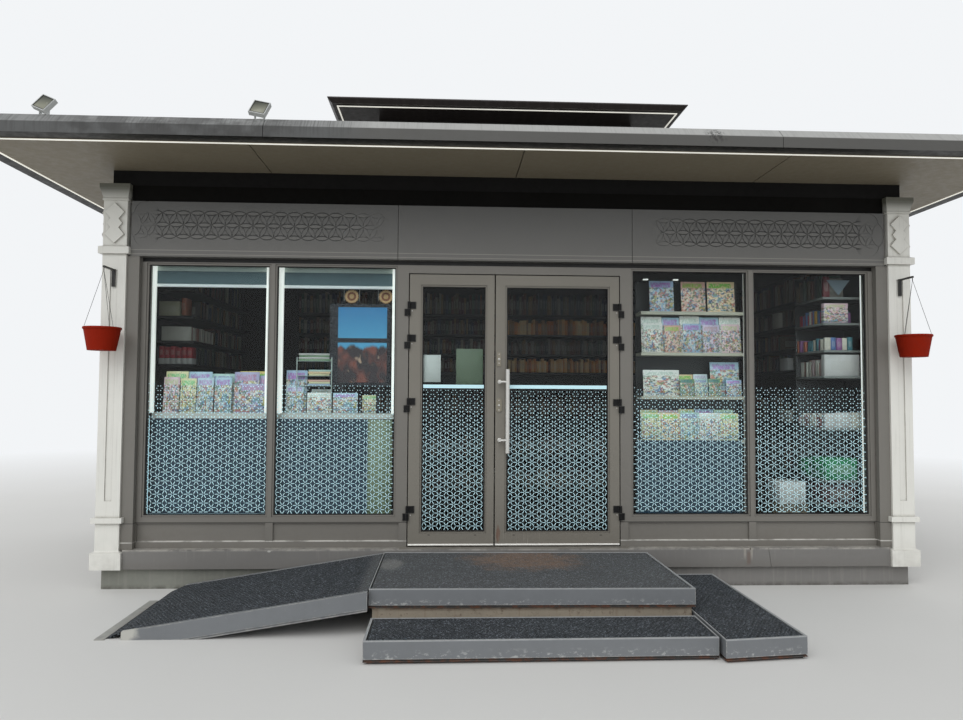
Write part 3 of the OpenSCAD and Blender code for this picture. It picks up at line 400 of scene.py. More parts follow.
def build_mottle(r, given):
    """Uneven ageing: two sizes of noise, the coarser one leading."""
    place = r.place()
    coarse = r.noise(place, given["Scale"], 4.0, 0.6)
    fine = r.noise(place, r.mul(given["Scale"], 14.0), 3.0, 0.7)
    return [r.math(r.mul(coarse, 0.65), r.mul(fine, 0.35), "ADD"), fine]


def build_drips(r, given):
    """Run marks: noise that is fine across and long in height, cut off below a threshold. Across is y on the
    faces that look along x, and x on the others."""
    x, y, z = r.xyz()
    facing = r.split(r.node("NewGeometry", out="True Normal"))
    aside = r.math(r.math(facing[0], 0.0, "ABSOLUTE"), r.math(facing[1], 0.0, "ABSOLUTE"), "GREATER_THAN")
    across = r.math(x, r.mul(aside, r.math(y, x, "SUBTRACT")), "ADD")
    down = r.mul(z, r.mul(given["Fineness"], 0.035))
    line = r.noise(r.node("CombineXYZ", {0: r.mul(across, given["Fineness"]), 1: down, 2: aside}), 1.0, 4.0, 0.65)
    low = given["Threshold"]
    return [r.node("MapRange", {"Value": line, "From Min": low, "From Max": r.math(low, 0.16, "ADD")}, out="Result")]


def build_worn_edges(r, given):
    """Worn edges: how far a rounded normal turns from the true one, broken up by noise."""
    rounded = r.node("Bevel", {"Radius": given["Reach"]}, samples=4)
    true = r.node("NewGeometry", out="True Normal")
    turn = r.node("VectorMath", {0: rounded, 1: true}, out="Value", operation="DOT_PRODUCT")
    rough = r.math(r.ragged(26.0, 0.42, 0.6), 0.35, "ADD")
    return [r.mul(r.between(turn, 0.985, 0.86), rough, given["Amount"])]


def build_dust(r, given):
    """Dust, in clouds, where a face looks up."""
    cloud = r.cloud(2.3, 0.3, 0.72, detail=5.0, rough=0.65)
    return [r.mul(r.between(r.up(), 0.25, 0.95), r.mul(cloud, given["Amount"]))]


def build_shade_in_corners(r, given):
    """Painted shade in corners and grooves: how closed in a point is within the reach, broken up by noise."""
    open_share = r.node("AmbientOcclusion", {"Distance": given["Reach"]}, out="AO", samples=8, only_local=True)
    return [r.mul(r.between(open_share, 0.9, 0.45), r.cloud(12.0, 0.32, 0.62, 0.6, 1.0), given["Amount"])]


def build_patch(r, given):
    """One soft-edged patch: 1 within the half widths of its middle and ragged at its border."""
    off = {}
    for number, (label, value) in enumerate(zip("XYZ", r.xyz())):
        off[number] = r.math(r.math(value, given[label], "SUBTRACT"), given["Half " + label], "DIVIDE")
    far = r.node("VectorMath", {0: r.node("CombineXYZ", off)}, out="Value", operation="LENGTH")
    return [r.between(r.math(far, r.ragged(9.0, 0.25, 0.75, -0.45, 0.45), "ADD"), 1.15, 0.55)]


def build_flecks(r, given):
    """Chips and scratches: the middles of scattered cells, bent by noise so that none is round."""
    place = r.place()
    bend = r.node("TexNoise", {"Vector": place, "Scale": r.mul(given["Scale"], 1.7), "Detail": 3.0}, out="Color")
    bent = r.node("VectorMath", {0: place, 1: r.spread(bend, 0.05, 0.05, 0.03)}, operation="ADD")
    near = r.node("TexVoronoi", {"Vector": bent, "Scale": given["Scale"]}, out="Distance")
    return [r.mul(r.between(near, given["Size"], r.mul(given["Size"], 0.6)),
                  r.between(r.noise(place, 1.9, 2.0), 0.46, 0.62))]


MOTTLE = group("mottle", {"Scale": 1.5}, ["Cloud", "Fine"], build_mottle)
DRIPS = group("drips", {"Fineness": 30.0, "Threshold": 0.55}, ["Mask"], build_drips)
WORN_EDGES = group("worn edges", {"Reach": 0.006, "Amount": 1.0}, ["Mask"], build_worn_edges)
DUST = group("dust", {"Amount": 0.5}, ["Mask"], build_dust)
SHADE_IN_CORNERS = group("shade in corners", {"Reach": 0.02, "Amount": 0.5}, ["Mask"], build_shade_in_corners)
PATCH = group("patch", {"X": 0.0, "Half X": 1.0, "Y": 0.0, "Half Y": 100.0, "Z": 0.0, "Half Z": 100.0}, ["Mask"],
              build_patch)
FLECKS = group("flecks", {"Scale": 9.0, "Size": 0.16}, ["Mask"], build_flecks)


def shader(recipe, colour, roughness, height=None, bump=0.2, depth=0.001, **settings):
    """The Principled shader at a recipe's end, with its Bump node, linked to the output. The underscores in the
    settings' names stand for spaces."""
    inputs = {"Base Color": colour, "Roughness": roughness}
    inputs.update((name.replace("_", " "), value) for name, value in settings.items())
    if height is not None:
        inputs["Normal"] = recipe.node("Bump", {"Height": height, "Strength": bump, "Distance": depth})
    show(recipe, recipe.node("BsdfPrincipled", inputs))


def show(recipe, surface):
    """Links a shader to the material's output."""
    recipe.tree.links.new(surface, recipe.tree.nodes.new("ShaderNodeOutputMaterial").inputs["Surface"])


def new_finish(name):
    finish = bpy.data.materials.new(name)
    finish.use_nodes = True
    return finish, Recipe(finish.node_tree)


def darkened(colour, share):
    return (*[c * share for c in colour[:3]], 1.0)


def coat(name, colour, cloud, dust, rough, drips=0.0, edges=0.0, corner_shade=0.0, grain=900.0, bump=0.12, reach=0.02,
         dirt=(74, 66, 54), dust_ink=(150, 146, 138), edge_ink=(190, 188, 182), corner_shade_ink=(48, 44, 38),
         low=None, extra=None, **settings):
    """A coated or cast surface: its colour in clouds, dirt that has run down, dirt near the ground between the
    first two heights of low, painted shade in the corners, worn edges, dust on top, whatever extra lays over it,
    and a fine orange-peel bump."""
    finish, r = new_finish(name)
    colour = linear(*colour)
    mottle = r.use(MOTTLE, 1.4)
    lighter = (*[min(1.0, c * 1.25 + 0.01) for c in colour[:3]], 1.0)
    shade = r.over(colour, r.mul(r.between(mottle["Cloud"], 0.5, 0.3), cloud * 4), darkened(colour, 0.72))
    shade = r.over(shade, r.mul(r.between(mottle["Cloud"], 0.52, 0.7), cloud * 3), lighter)
    rows = []
    if drips:
        rows.append((dirt, r.mask(DRIPS, 34.0, 0.56), drips))
    if low:
        near = r.between(r.xyz()[2], low[0], low[1], 1.0, 0.0)
        rows.append((dirt, near, r.between(mottle["Cloud"], 0.35, 0.6), low[2]))
    # Painted shade where a point is closed in by other faces.
    if corner_shade:
        rows.append((corner_shade_ink, r.mask(SHADE_IN_CORNERS, reach, corner_shade)))
    if edges:
        rows.append((edge_ink, r.mask(WORN_EDGES, 0.007, edges)))
    if dust:
        rows.append((dust_ink, r.mask(DUST, dust)))
    shade = r.layers(shade, *rows)
    if extra:
        shade = extra(r, shade)
    roughness = r.between(mottle["Fine"], 0.3, 0.7, rough - 0.07, rough + 0.12)
    shader(r, shade, roughness, r.noise(r.place(), grain, 2.0, 0.5), bump, 0.0006, **settings)
    return finish


def scuffs(r, z):
    """The layer of pale scuffs that get fewer from knee height up."""
    return (176, 172, 163), r.mask(FLECKS, 16.0, 0.05), r.between(z, 0.45, 0.9, 0.55, 0.0)


def frame_marks_and_painted_light(r, colour):
    """Scuffs low on the frames, a painted highlight line where the sill catches the sky, and a painted shadow line
    over the aprons.
    """
    z = r.xyz()[2]
    return r.layers(
        colour, scuffs(r, z),
        ((208, 206, 200), r.band(z, 0.3485, 0.353, 0.003), r.cloud(6.0, 0.38, 0.56, 0.25, 1.0, rough=0.7), 0.85),
        ((38, 36, 33), r.band(z, 0.4935, 0.4975, 0.002), 0.8))


def leaf_marks(r, colour):
    """The leaves: scuffs low down, a brown stain on the right leaf's meeting stile and pale scratches round it."""
    x, _, z = r.xyz()
    return r.layers(
        colour, scuffs(r, z),
        ((108, 78, 62), r.mask(PATCH, -0.128, 0.016, -1.428, 0.08, 0.41, 0.075), 0.75),
        ((188, 184, 174), r.mask(DRIPS, 120.0, 0.6), r.between(z, 0.33, 0.46, 0.7, 0.0), r.band(x, -0.16, 0.2, 0.05)))


def wall_inner_painted_shade(r, colour):
    """The end and rear walls: painted shade on the side that faces the shop, whose inside is dim."""
    x, y, _ = r.xyz()
    return r.layers(colour, ((30, 28, 26), r.between(r.math(x, 0.0, "ABSOLUTE"), 3.076, 3.08, 1.0, 0.0),
                             r.between(r.math(y, 0.0, "ABSOLUTE"), 1.376, 1.38, 1.0, 0.0)))


def band_marks_and_highlights(r, colour):
    """The base band: a pale worn top edge, faint runs under it, small pale chips, a spot, and at the cover strip pale
    strips that are painted highlights on its edges, with rust between them."""
    x, _, z = r.xyz()
    strips = r.math(r.band(x, 1.812, 1.822, 0.008), r.band(x, 1.864, 1.876, 0.008), "MAXIMUM")
    return r.layers(
        colour,
        ((182, 178, 170), r.between(z, 0.284, 0.297), r.ragged(11.0), 0.75),
        ((154, 151, 145), r.mask(DRIPS, 60.0, 0.57), r.between(z, 0.17, 0.3), 0.3),
        ((178, 175, 168), r.mask(FLECKS, 26.0, 0.07), 0.6),
        ((204, 202, 196), r.mask(PATCH, -1.89, 0.014, -1.5, 0.1, 0.288, 0.007), 0.7),
        # Painted highlights on the cover strip's two edges.
        ((168, 163, 153), strips, r.between(z, 0.2, 0.25), 0.55),
        ((96, 66, 48), r.band(x, 1.838, 1.858, 0.012), r.band(z, 0.19, 0.262, 0.03), 0.4))


ORNAMENT_ROWS = (2.8977, 2.805, 2.7123)


def sign_shade(r, colour):
    """The sign boxes: greyer towards the top as painted shade, painted shade in the ornament's grooves with painted
    highlights along its rows, paler at the bottom, and two thin painted highlights on folds low down.
    """
    x, y, z = r.xyz()
    aside = r.math(x, 0.0, "ABSOLUTE")
    depth = r.mul(r.between(y, -1.4843, -1.4825), r.between(y, -1.4802, -1.4798, 1.0, 0.0))
    groove = r.mul(depth, r.band(aside, 1.18, 2.79, 0.025))
    rows = [((72, 73, 74), r.between(z, 2.62, 2.99, 0.0, 0.45)),
            ((124, 120, 112), r.between(z, 2.60, 2.555, 0.0, 0.15))]
    for middle in ORNAMENT_ROWS:
        # Painted shade in each row's grooves and a painted highlight along the row.
        rows += [((36, 35, 34), groove, r.band(z, middle - 0.024, middle + 0.024, 0.004), 0.8),
                 ((150, 148, 142), r.band(z, middle - 0.008, middle + 0.006, 0.006),
                  r.mul(r.band(aside, 1.24, 2.74, 0.08), 0.14))]
    rows.append(((44, 43, 42), groove, 0.25))
    rows += [((166, 162, 154), r.band(z, fold - 0.002, fold + 0.002, 0.002), 0.45) for fold in (2.604, 2.572)]
    return r.layers(colour, *rows)


def fascia_marks_and_painted_shade(r, colour):
    """The canopy's edge: a pale weathered lip, dark runs over the left part, a forked stain right of the middle,
    and painted shade on the rim underneath."""
    x, y, z = r.xyz()
    pale = r.layers(linear(166, 166, 163), ((112, 111, 108), r.mask(DRIPS, 90.0, 0.5), 0.3))
    front = r.between(y, -2.0, -2.15)
    left = r.mul(r.band(x, -4.0, -1.35, 0.3), front)
    legs = r.between(r.noise(r.spread(r.place(), 1.0, 1.0, 0.45), 52.0, 3.0, 0.7), 0.47, 0.56)
    return r.layers(
        colour,
        (pale, r.between(z, 3.307, 3.316), 0.9),
        ((74, 77, 79), left, 0.5),
        ((44, 42, 40), left, r.mask(DRIPS, 75.0, 0.47), 0.5, r.between(z, 3.22, 3.33, 0.25, 1.0)),
        ((34, 32, 30), r.band(x, -3.0, -1.72, 0.25), front, r.cloud(7.0, 0.36, 0.54), 0.6),
        ((36, 34, 33), r.mask(PATCH, 1.327, 0.075, -2.3, 0.5, 3.312, 0.062), legs, 0.85),
        # Painted shade where the faces look down.
        ((12, 9, 7), r.between(r.up("True Normal"), -0.5, -0.8)))


def raised_marks(r, colour):
    """The raised roof: a paler worn upper edge over the dark slope, with faint seams."""
    return r.layers(colour, ((86, 82, 82), r.between(r.xyz()[2], 4.106, 4.112), 0.4),
                    ((74, 66, 68), r.mask(DRIPS, 22.0, 0.5), 0.25))


def plinth_marks(r, colour):
    """Cast concrete, painted grey on the right, with pale runs and a dirty foot."""
    x, _, z = r.xyz()
    return r.layers(
        colour,
        ((122, 120, 117), r.between(x, 1.0, 1.08), r.ragged(9.0, 0.28, 0.4)),
        ((150, 148, 141), r.mask(DRIPS, 22.0, 0.52), 0.4),
        ((62, 58, 50), r.between(z, 0.0, 0.035, 1.0, 0.0), r.cloud(14.0, 0.35, 0.6), 0.7))


def steel_marks_and_painted_light(chip_low, chip_high, web, rim):
    """Marks of a grey steel frame: pale chips in the lower part of the faces, between the two heights, a bright
    rim at the top, part wear and part painted highlight, scuffs, and painted shade, partly rust, on the recess and
    flange under the height web and on faces that look down."""
    def marks(r, colour):
        z = r.xyz()[2]
        chips = r.between(r.noise(r.spread(r.place(), 1.0, 1.0, 1.6), 26.0, 4.0, 0.75), 0.55, 0.63)
        # Painted shade, partly rusty, under the web and where faces look down.
        deep = r.math(r.between(z, web, web - 0.004), r.between(r.up(), -0.3, -0.7), "MAXIMUM")
        return r.layers(
            colour,
            ((188, 189, 186), chips, r.between(z, chip_low, chip_high, 1.0, 0.0), 0.6),
            ((176, 178, 179), r.band(z, rim - 0.003, rim + 0.003, 0.002),
             r.cloud(15.0, 0.3, 0.5, 0.45, 1.0, rough=0.7), 0.6),
            ((146, 147, 146), r.mask(FLECKS, 44.0, 0.1), 0.4),
            ((34, 29, 25), deep, 0.9),
            ((96, 60, 42), deep, r.ragged(17.0, 0.47, 0.6)))
    return marks


def ramp_marks(r, colour):
    """The ramp: scuffs, a light worn toe plate and the bright worn end of its front channel."""
    return r.layers(
        colour,
        ((160, 160, 156), r.mask(FLECKS, 30.0, 0.12), 0.5),
        ((158, 157, 151), r.between(r.xyz()[0], -2.485, -2.5), r.cloud(16.0, 0.3, 0.6, 0.6, 1.0, rough=0.7)),
        ((184, 183, 176), r.mask(PATCH, -2.47, 0.065, -2.67, 0.06, 0.04, 0.07)))


def riser_marks(r, colour):
    """The landing's riser plates and legs: dirty beige with rust along their edges."""
    z = r.xyz()[2]
    ends = r.math(r.between(z, 0.135, 0.165), r.between(z, 0.05, 0.01), "MAXIMUM")
    return r.layers(colour, ((98, 60, 40), ends, r.ragged(13.0, 0.34, 0.6), 0.8),
                    ((84, 56, 40), r.ragged(31.0, 0.55, 0.68), 0.5))


def mat_marks(r, colour):
    """The mats: dark and pale specks, a worn tone on the landing's level, an ochre dust patch before the door and
    a pale one on the landing's left."""
    return r.layers(
        colour,
        ((12, 14, 16), r.cloud(84.0, 0.49, 0.4, detail=2.0), 0.8),
        ((112, 118, 125), r.cloud(92.0, 0.54, 0.65, detail=2.0), 0.75),
        ((150, 150, 148), r.between(r.xyz()[2], 0.262, 0.27, 0.0, 0.16)),
        ((138, 108, 84), r.mask(PATCH, 0.05, 0.44, -1.75, 0.36, 0.277, 0.4), r.ragged(22.0, 0.2, 0.6), 0.55),
        ((158, 157, 152), r.mask(PATCH, -0.93, 0.09, -1.9, 0.2, 0.277, 0.4), 0.3))


def pilaster_dirt_and_painted_shade(r, colour):
    """Grey dust runs, a dirty foot, and painted shade on the upper blocks' tops under the canopy."""
    z = r.xyz()[2]
    return r.layers(
        colour,
        ((150, 146, 136), r.mask(DRIPS, 40.0, 0.55), 0.2),
        ((138, 134, 124), r.between(z, 0.16, 0.42, 0.25, 0.0), r.cloud(8.0, 0.35, 0.6)),
        ((80, 80, 68), r.between(z, 2.97, 3.07, 0.0, 0.95)))


def counter_shade(r, colour):
    """The counter's front: paler and greyer towards the floor, where the street's light reaches it."""
    return r.layers(colour, ((64, 84, 98), r.between(r.xyz()[2], 1.1, 0.4, 0.0, 0.15)))


def rack_shade(r, colour):
    """The rack: painted shade on its back board, deep blue below its lowest board."""
    _, y, z = r.xyz()
    return r.layers(colour, ((40, 40, 38), r.between(y, -1.082, -1.0805)), ((22, 36, 50), r.between(z, 1.106, 1.102)))


def clear_glass():
    """Clear glass. Lamp rays pass straight through, so that what is behind it is lit."""
    finish, r = new_finish("clear glass")
    tint = (0.86, 0.92, 0.93, 1.0)
    body = r.node("BsdfPrincipled", {"Base Color": tint, "Roughness": 0.0, "IOR": 1.22, "Transmission Weight": 1.0})
    open_air = r.node("BsdfTransparent", {"Color": tint})
    show(r, r.node("MixShader", {0: r.node("LightPath", out="Is Shadow Ray"), 1: body, 2: open_air}))
    return finish


COVER_PATCHES = ((5.5, 0.8, ((226, 218, 190), (196, 96, 74), (96, 156, 190), (206, 184, 92))),
                 (13.0, 0.75, ((232, 226, 208), (168, 62, 58), (70, 122, 84), (60, 92, 138))))


def printed_covers():
    """Magazine covers: patches and spots of many soft hues over the piece's tint, and a plain heading bar. Nothing
    is written or drawn on them."""
    finish, r = new_finish("covers")
    tint = r.node("VertexColor", layer_name="tint")
    uv = r.map()
    u, v, _ = r.split(uv)
    key = r.split(tint)[0]
    shift = r.node("CombineXYZ", {0: r.mul(key, 37.0), 1: r.mul(key, 91.0), 2: 0.0})
    place = r.node("VectorMath", {0: r.spread(uv, 1.0, 1.4, 1.0), 1: shift}, operation="ADD")
    bend = r.node("TexNoise", {"Vector": place, "Scale": 5.0, "Detail": 3.0}, out="Color")
    bent = r.node("VectorMath", {0: place, 1: r.spread(bend, 0.22, 0.22, 0.0)}, operation="ADD")
    inside = r.band(v, 0.04, 0.77, 0.03)
    rows = []
    for scale, strength, patches in COVER_PATCHES:
        chance = r.split(r.node("TexVoronoi", {"Vector": bent, "Scale": scale}, out="Color"))
        here = r.mul(inside, r.between(r.noise(place, scale * 0.8, 2.0), 0.42, 0.52))
        for axis, ink, low in zip((0, 1, 2, 0), patches, (0.45, 0.72, 0.66, 0.86)):
            rows.append((ink, here, r.between(chance[axis], low, low + 0.02), strength))
    rows.append(((52, 62, 74), r.between(r.noise(bent, 12.0, 2.0), 0.62, 0.68, 0.0, 0.75)))
    head = r.mul(r.band(u, 0.08, 0.86, 0.03), r.band(v, 0.8, 0.93, 0.02))
    bar = r.node("HueSaturation", {"Hue": 0.72, "Saturation": 1.7, "Value": 0.7, "Color": tint})
    worn = r.between(r.noise(r.spread(place, 3.0, 1.0, 1.0), 8.0, 1.0), 0.42, 0.5, 0.15, 0.85)
    shader(r, r.layers(tint, *rows, (bar, head, worn)), 0.3)
    return finish


def packed_goods():
    """Boxes and books: the piece's tint with a paler label field and soft unevenness."""
    finish, r = new_finish("goods")
    u, v, _ = r.split(r.map())
    shade = r.layers(r.node("VertexColor", layer_name="tint"),
                     ((190, 186, 176), r.band(u, 0.2, 0.8, 0.03), r.band(v, 0.3, 0.7, 0.03), 0.25),
                     ((40, 38, 36), r.use(MOTTLE, 9.0)["Cloud"], 0.25))
    shader(r, shade, 0.55)
    return finish


def board(name, colour, rough=0.4, grain=0.15, dust=0.25, extra=None):
    """Laminated board: long faint grain along x and a little dust."""
    finish, r = new_finish(name)
    colour = linear(*colour)
    long = r.noise(r.spread(r.place(), 3.0, 60.0, 60.0), 1.0, 4.0, 0.6)
    shade = r.over(colour, r.mul(r.between(long, 0.45, 0.7), grain * 3), darkened(colour, 0.7))
    shade = r.layers(shade, ((160, 158, 150), r.mask(DUST, dust)))
    if extra:
        shade = extra(r, shade)
    shader(r, shade, rough, long, 0.08, 0.0005)
    return finish


def glow(name, colour, strength):
    """A milky diffuser in front of its tubes, a little uneven along its length."""
    finish, r = new_finish(name)
    level = r.over(linear(70, 70, 66), r.cloud(3.0, 0.3, 0.7, 0.85, 1.0, detail=2.0, rough=0.5), linear(*colour))
    shader(r, level, 0.35, Emission_Color=level, Emission_Strength=strength)
    return finish


def dress(nodes, finish):
    """Gives each named CAD node the finish."""
    for name in nodes.split():
        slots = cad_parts[name].data.materials
        slots.clear()
        slots.append(finish)
    return finish


TAUPE, BLACK, STEEL = (119, 116, 110), (20, 19, 18), (116, 119, 122)
KNEE = (0.3, 0.62, 0.3)
SMOOTH = 1400.0

dress("window_frames apron_panels door_posts door_head",
      coat("taupe powder coat", TAUPE, 0.08, 0.25, 0.52, corner_shade=0.5, low=KNEE, extra=frame_marks_and_painted_light))
dress("left_door_leaf right_door_leaf",
      coat("door leaf coat", (125, 121, 112), 0.08, 0.25, 0.52, corner_shade=0.5, low=KNEE, extra=leaf_marks))
dress("base_band", coat("base band coat", (117, 115, 112), 0.1, 0.3, 0.55, low=(0.15, 0.24, 0.3), extra=band_marks_and_highlights))
dress("ornament_panels centre_sign_panel", coat("sign coat", (104, 103, 100), 0.05, 0.1, 0.45, extra=sign_shade))
dress("soffit", coat("soffit coat", (127, 118, 100), 0.05, 0.0, 0.5))
dress("roof_fascia", coat("fascia coat", (78, 77, 74), 0.08, 0.2, 0.5, drips=0.1, extra=fascia_marks_and_painted_shade))
dress("side_walls rear_wall",
      coat("wall coat", TAUPE, 0.08, 0.2, 0.52, drips=0.12, corner_shade=0.4, low=(0.3, 0.7, 0.4), extra=wall_inner_painted_shade))
dress("corner_pilasters",
      coat("pilaster paint", (226, 225, 218), 0.035, 0.3, 0.38, corner_shade=0.62, reach=0.03, grain=420.0,
           dust_ink=(160, 157, 148), corner_shade_ink=(112, 106, 94), extra=pilaster_dirt_and_painted_shade))
dress("plinth", coat("concrete", (126, 127, 119), 0.22, 0.2, 0.85, grain=160.0, bump=0.5, extra=plinth_marks))
# The frieze's near black is dark brown paint with painted shade under the canopy.
dress("frieze", coat("dark brown coat in painted shade", (9, 8, 6), 0.08, 0.0, 0.6, Specular_IOR_Level=0.1))
dress("upper_roof_walls", coat("raised roof wall coat", (30, 26, 24), 0.08, 0.04, 0.45))
dress("upper_roof",
      coat("raised roof coat", (44, 38, 36), 0.1, 0.12, 0.45, drips=0.2, dirt=(90, 84, 78), extra=raised_marks))
dress("head_flashing pot_hangers", coat("black coat", BLACK, 0.05, 0.05, 0.42))
# The neck's near black is painted shadow in the recess under the canopy.
dress("roof_neck", coat("neck painted shadow", (12, 11, 10), 0.05, 0.0, 0.6, Specular_IOR_Level=0.2))
dress("planter_brackets", coat("bracket coat", BLACK, 0.05, 0.05, 0.42, edges=0.7, edge_ink=(120, 118, 114)))
dress("left_leaf_hinges right_leaf_hinges frame_hinges",
      coat("hinge coat", (12, 12, 13), 0.05, 0.0, 0.5, edges=0.15, Specular_IOR_Level=0.25))
for node, name, marks in (("step_frames", "grey steel coat", steel_marks_and_painted_light(0.045, 0.085, 0.029, 0.128)),
                          ("landing_frame", "landing coat", steel_marks_and_painted_light(0.192, 0.222, 0.179, 0.278)),
                          ("ramp_frame", "ramp coat", ramp_marks)):
    dress(node, coat(name, STEEL, 0.1, 0.2, 0.5, edges=0.8, extra=marks))
dress("landing_support",
      coat("rusty riser steel", (152, 142, 126), 0.2, 0.2, 0.8, drips=0.35, grain=240.0, bump=0.5, dirt=(112, 74, 50),
           dust_ink=(136, 122, 102), extra=riser_marks))
dress("roof_deck", coat("roof membrane", (112, 112, 110), 0.16, 0.4, 0.8, grain=300.0, bump=0.4))
dress("floor", coat("floor sheet", (46, 44, 42), 0.15, 0.1, 0.5))
clay = dress("hanging_pots",
             coat("terracotta", (136, 27, 2), 0.14, 0.03, 0.8, grain=260.0, bump=0.4, dust_ink=(168, 110, 84),
                  Specular_IOR_Level=0.15))
earth = coat("earth", (50, 40, 30), 0.3, 0.0, 0.95, grain=120.0, bump=0.8)
satin = dress("pull_handle", coat("satin aluminium", (214, 213, 208), 0.05, 0.0, 0.36, grain=SMOOTH, Metallic=0.35))
dress("door_threshold", coat("threshold", (118, 114, 106), 0.1, 0.2, 0.4, grain=SMOOTH))
foot_strip = coat("leaf foot strip", (250, 248, 242), 0.04, 0.0, 0.35, grain=SMOOTH)
dress("lock_plates", coat("lock plates", (138, 132, 118), 0.05, 0.0, 0.38, Metallic=0.3))
lamp_metal = dress("floodlights", coat("floodlight housing", (190, 192, 190), 0.08, 0.2, 0.42))
rubber = coat("mat rubber", (43, 48, 53), 0.2, 0.2, 0.8, grain=500.0, dust_ink=(84, 85, 86), extra=mat_marks)
bed = coat("mat bed", (12, 12, 13), 0.2, 0.0, 0.9)
# The ceiling board's dark grey is painted shade of the shop's dim inside.
dress("ceiling", board("ceiling board", (56, 56, 52), 0.5))
ledge_board = dress("window_ledge", board("ledge board", (200, 200, 192)))
dress("display_rack", board("rack board", (192, 187, 168), 0.45, extra=rack_shade))
shelf_dark = dress("shelf_boards", board("shelf board", (38, 36, 34), 0.5, dust=0.1))
dress("counter_panel", board("counter board", (20, 50, 68), 0.45, extra=counter_shade))
dress("window_glass left_door_glass right_door_glass", clear_glass())
dress("display_screen", coat("screen frame", (16, 18, 26), 0.03, 0.0, 0.25))
covers, goods = printed_covers(), packed_goods()
diffuser = dress("window_lamps", glow("lamp diffuser", (230, 231, 224), 0.8))
dress("soffit_strips", glow("eaves light", (232, 230, 220), 0.75))
gasket = coat("gasket rubber", (22, 22, 23), 0.05, 0.08, 0.6)
dark_seal = coat("dark seal", (34, 34, 32), 0.1, 0.0, 0.5)


# Gaskets and film on the glass

def film_finish():
    """White frosted film: a milky sheet with a faint glow painted into it, painted light that brightens it."""
    finish, r = new_finish("frosted film")
    shade = r.layers(linear(206, 244, 252), ((192, 230, 240), r.use(MOTTLE, 3.0)["Fine"]))
    shader(r, shade, 0.5, Emission_Color=shade, Emission_Strength=0.15)
    return finish


film = film_finish()
GASKET = [(0, 90.5), (0, 97.6), (7, 97.6), (8, 94), (5, 90.5)]
LEAF_GASKET = [(d, y + LEAF_FACE - WINDOW_FACE) for d, y in GASKET]
piece("window_gaskets", [upright_ring((a, b, *GLASS_Z), GASKET) for a, b in WINDOW_GLASS], gasket)
piece("left_leaf_gasket", [upright_ring(LEFT_LEAF_GLASS, LEAF_GASKET)], gasket, "left_leaf")
piece("right_leaf_gasket", [upright_ring(RIGHT_LEAF_GLASS, LEAF_GASKET)], gasket, "right_leaf")

STARS = (((-2363.3, 881.7), (59.6, 68.5)), ((-1525.2, 861.3), (58.35, 68.05)),
         ((1416.7, 881.8), (58.6, 67.75)), ((2280.9, 911.3), (59.15, 68.45)))
FILM_IN = 9
ON_WINDOW, ON_LEAF = WINDOW_FACE - 0.5, LEAF_FACE - 0.5
piece("window_film", [star_film((a + FILM_IN, b - FILM_IN, 560, 1570), *stars, ON_WINDOW)
                      for (a, b), stars in zip(WINDOW_GLASS, STARS)], film)
for name, (x0, x1, z0, z1), stars in (("left", LEFT_LEAF_GLASS, ((-479.6, 835.5), (57.75, 67.7))),
                                      ("right", RIGHT_LEAF_GLASS, ((371.8, 827.2), (57.85, 67.75)))):
    x0, x1 = x0 + FILM_IN, x1 - FILM_IN
    shapes = star_film((x0, x1, z0 + FILM_IN, 1535), *stars, ON_LEAF)
    line = upright_sheet(x0, x1, 1546, 1574, ON_LEAF)
    piece(f"{name}_leaf_film", [shapes, line], film, f"{name}_leaf")
piece("film_edges", [upright_sheet(-2853, -2849, 560, 1297, ON_WINDOW),
                     upright_sheet(-2853, -1949, 553, 559.5, ON_WINDOW)], film)


# Mats of rubber rings

LANDING = [(-1016, -1101), (1047, -1127), (1027, -39), (-1013, -8)]
STEP = [(-993, -1631), (1018, -1616), (1018, -1198), (-993, -1198)]
SIDE_STEP = [(1040, -1668), (1535, -1608), (1515, -118), (1040, -118)]
RAMP = [(-2598.7, -1140), (-1019, -1140), (-1019, -50), (-2598.7, -50)]
WIDE_EDGE, THIN_EDGE = 22, 14
FRONT_AND_RIGHT = (WIDE_EDGE, WIDE_EDGE, THIN_EDGE, THIN_EDGE)
FRONT_AND_LEFT = (WIDE_EDGE, THIN_EDGE, THIN_EDGE, WIDE_EDGE)


def level(z):
    """A level surface at height z, wherever x is."""
    return lambda x: np.full(np.shape(x), float(z))


def ramp_top(x):
    """The ramp mat's top: from 277 down to 47 at the channels' end, then to the ground."""
    return np.interp(-np.asarray(x), [1019, 2499, 2598.7], [277, 47, 1.5])


def ramp_low(x):
    """The ramp mat's underside."""
    return np.interp(-np.asarray(x), [1019, 2499, 2549, 2598.7], [258, 28, 0.5, 0.5])


def mat(name, outline, top, low, steps=2):
    piece(name, [ring_mat(outline, top, low)], rubber, stands_for=("rubber_mats",))
    piece(name + "_bed", mat_bed(outline, top, low, steps), bed, stands_for=("rubber_mats",))


mat("landing_mat", inset(LANDING, FRONT_AND_RIGHT), level(277), level(258))
mat("lower_step_mat", inset(STEP, FRONT_AND_LEFT), level(127), level(108))
mat("side_step_mat", inset(SIDE_STEP, FRONT_AND_RIGHT), level(127), level(108))
mat("ramp_mat", RAMP, ramp_top, ramp_low, 64)


# Roller blinds

THREADS = 5200.0


def blind_cloth():
    """Blind cloth: a plain weave of two crossing sets of threads, read from the sheet's own map."""
    finish, r = new_finish("blind cloth")
    u, v, _ = r.split(r.map())
    weave = r.mul(*[r.node("Math", {0: r.mul(side, THREADS)}, operation="SINE") for side in (u, v)])
    shade = r.layers(linear(92, 112, 116), ((76, 96, 101), r.use(MOTTLE, 2.0)["Cloud"]))
    shader(r, shade, 0.85, weave, 0.15, 0.0004)
    return finish


ROLL = 12.0
CLOTH_TOP = 2504.0
CLOTH_LENGTH = 155.0


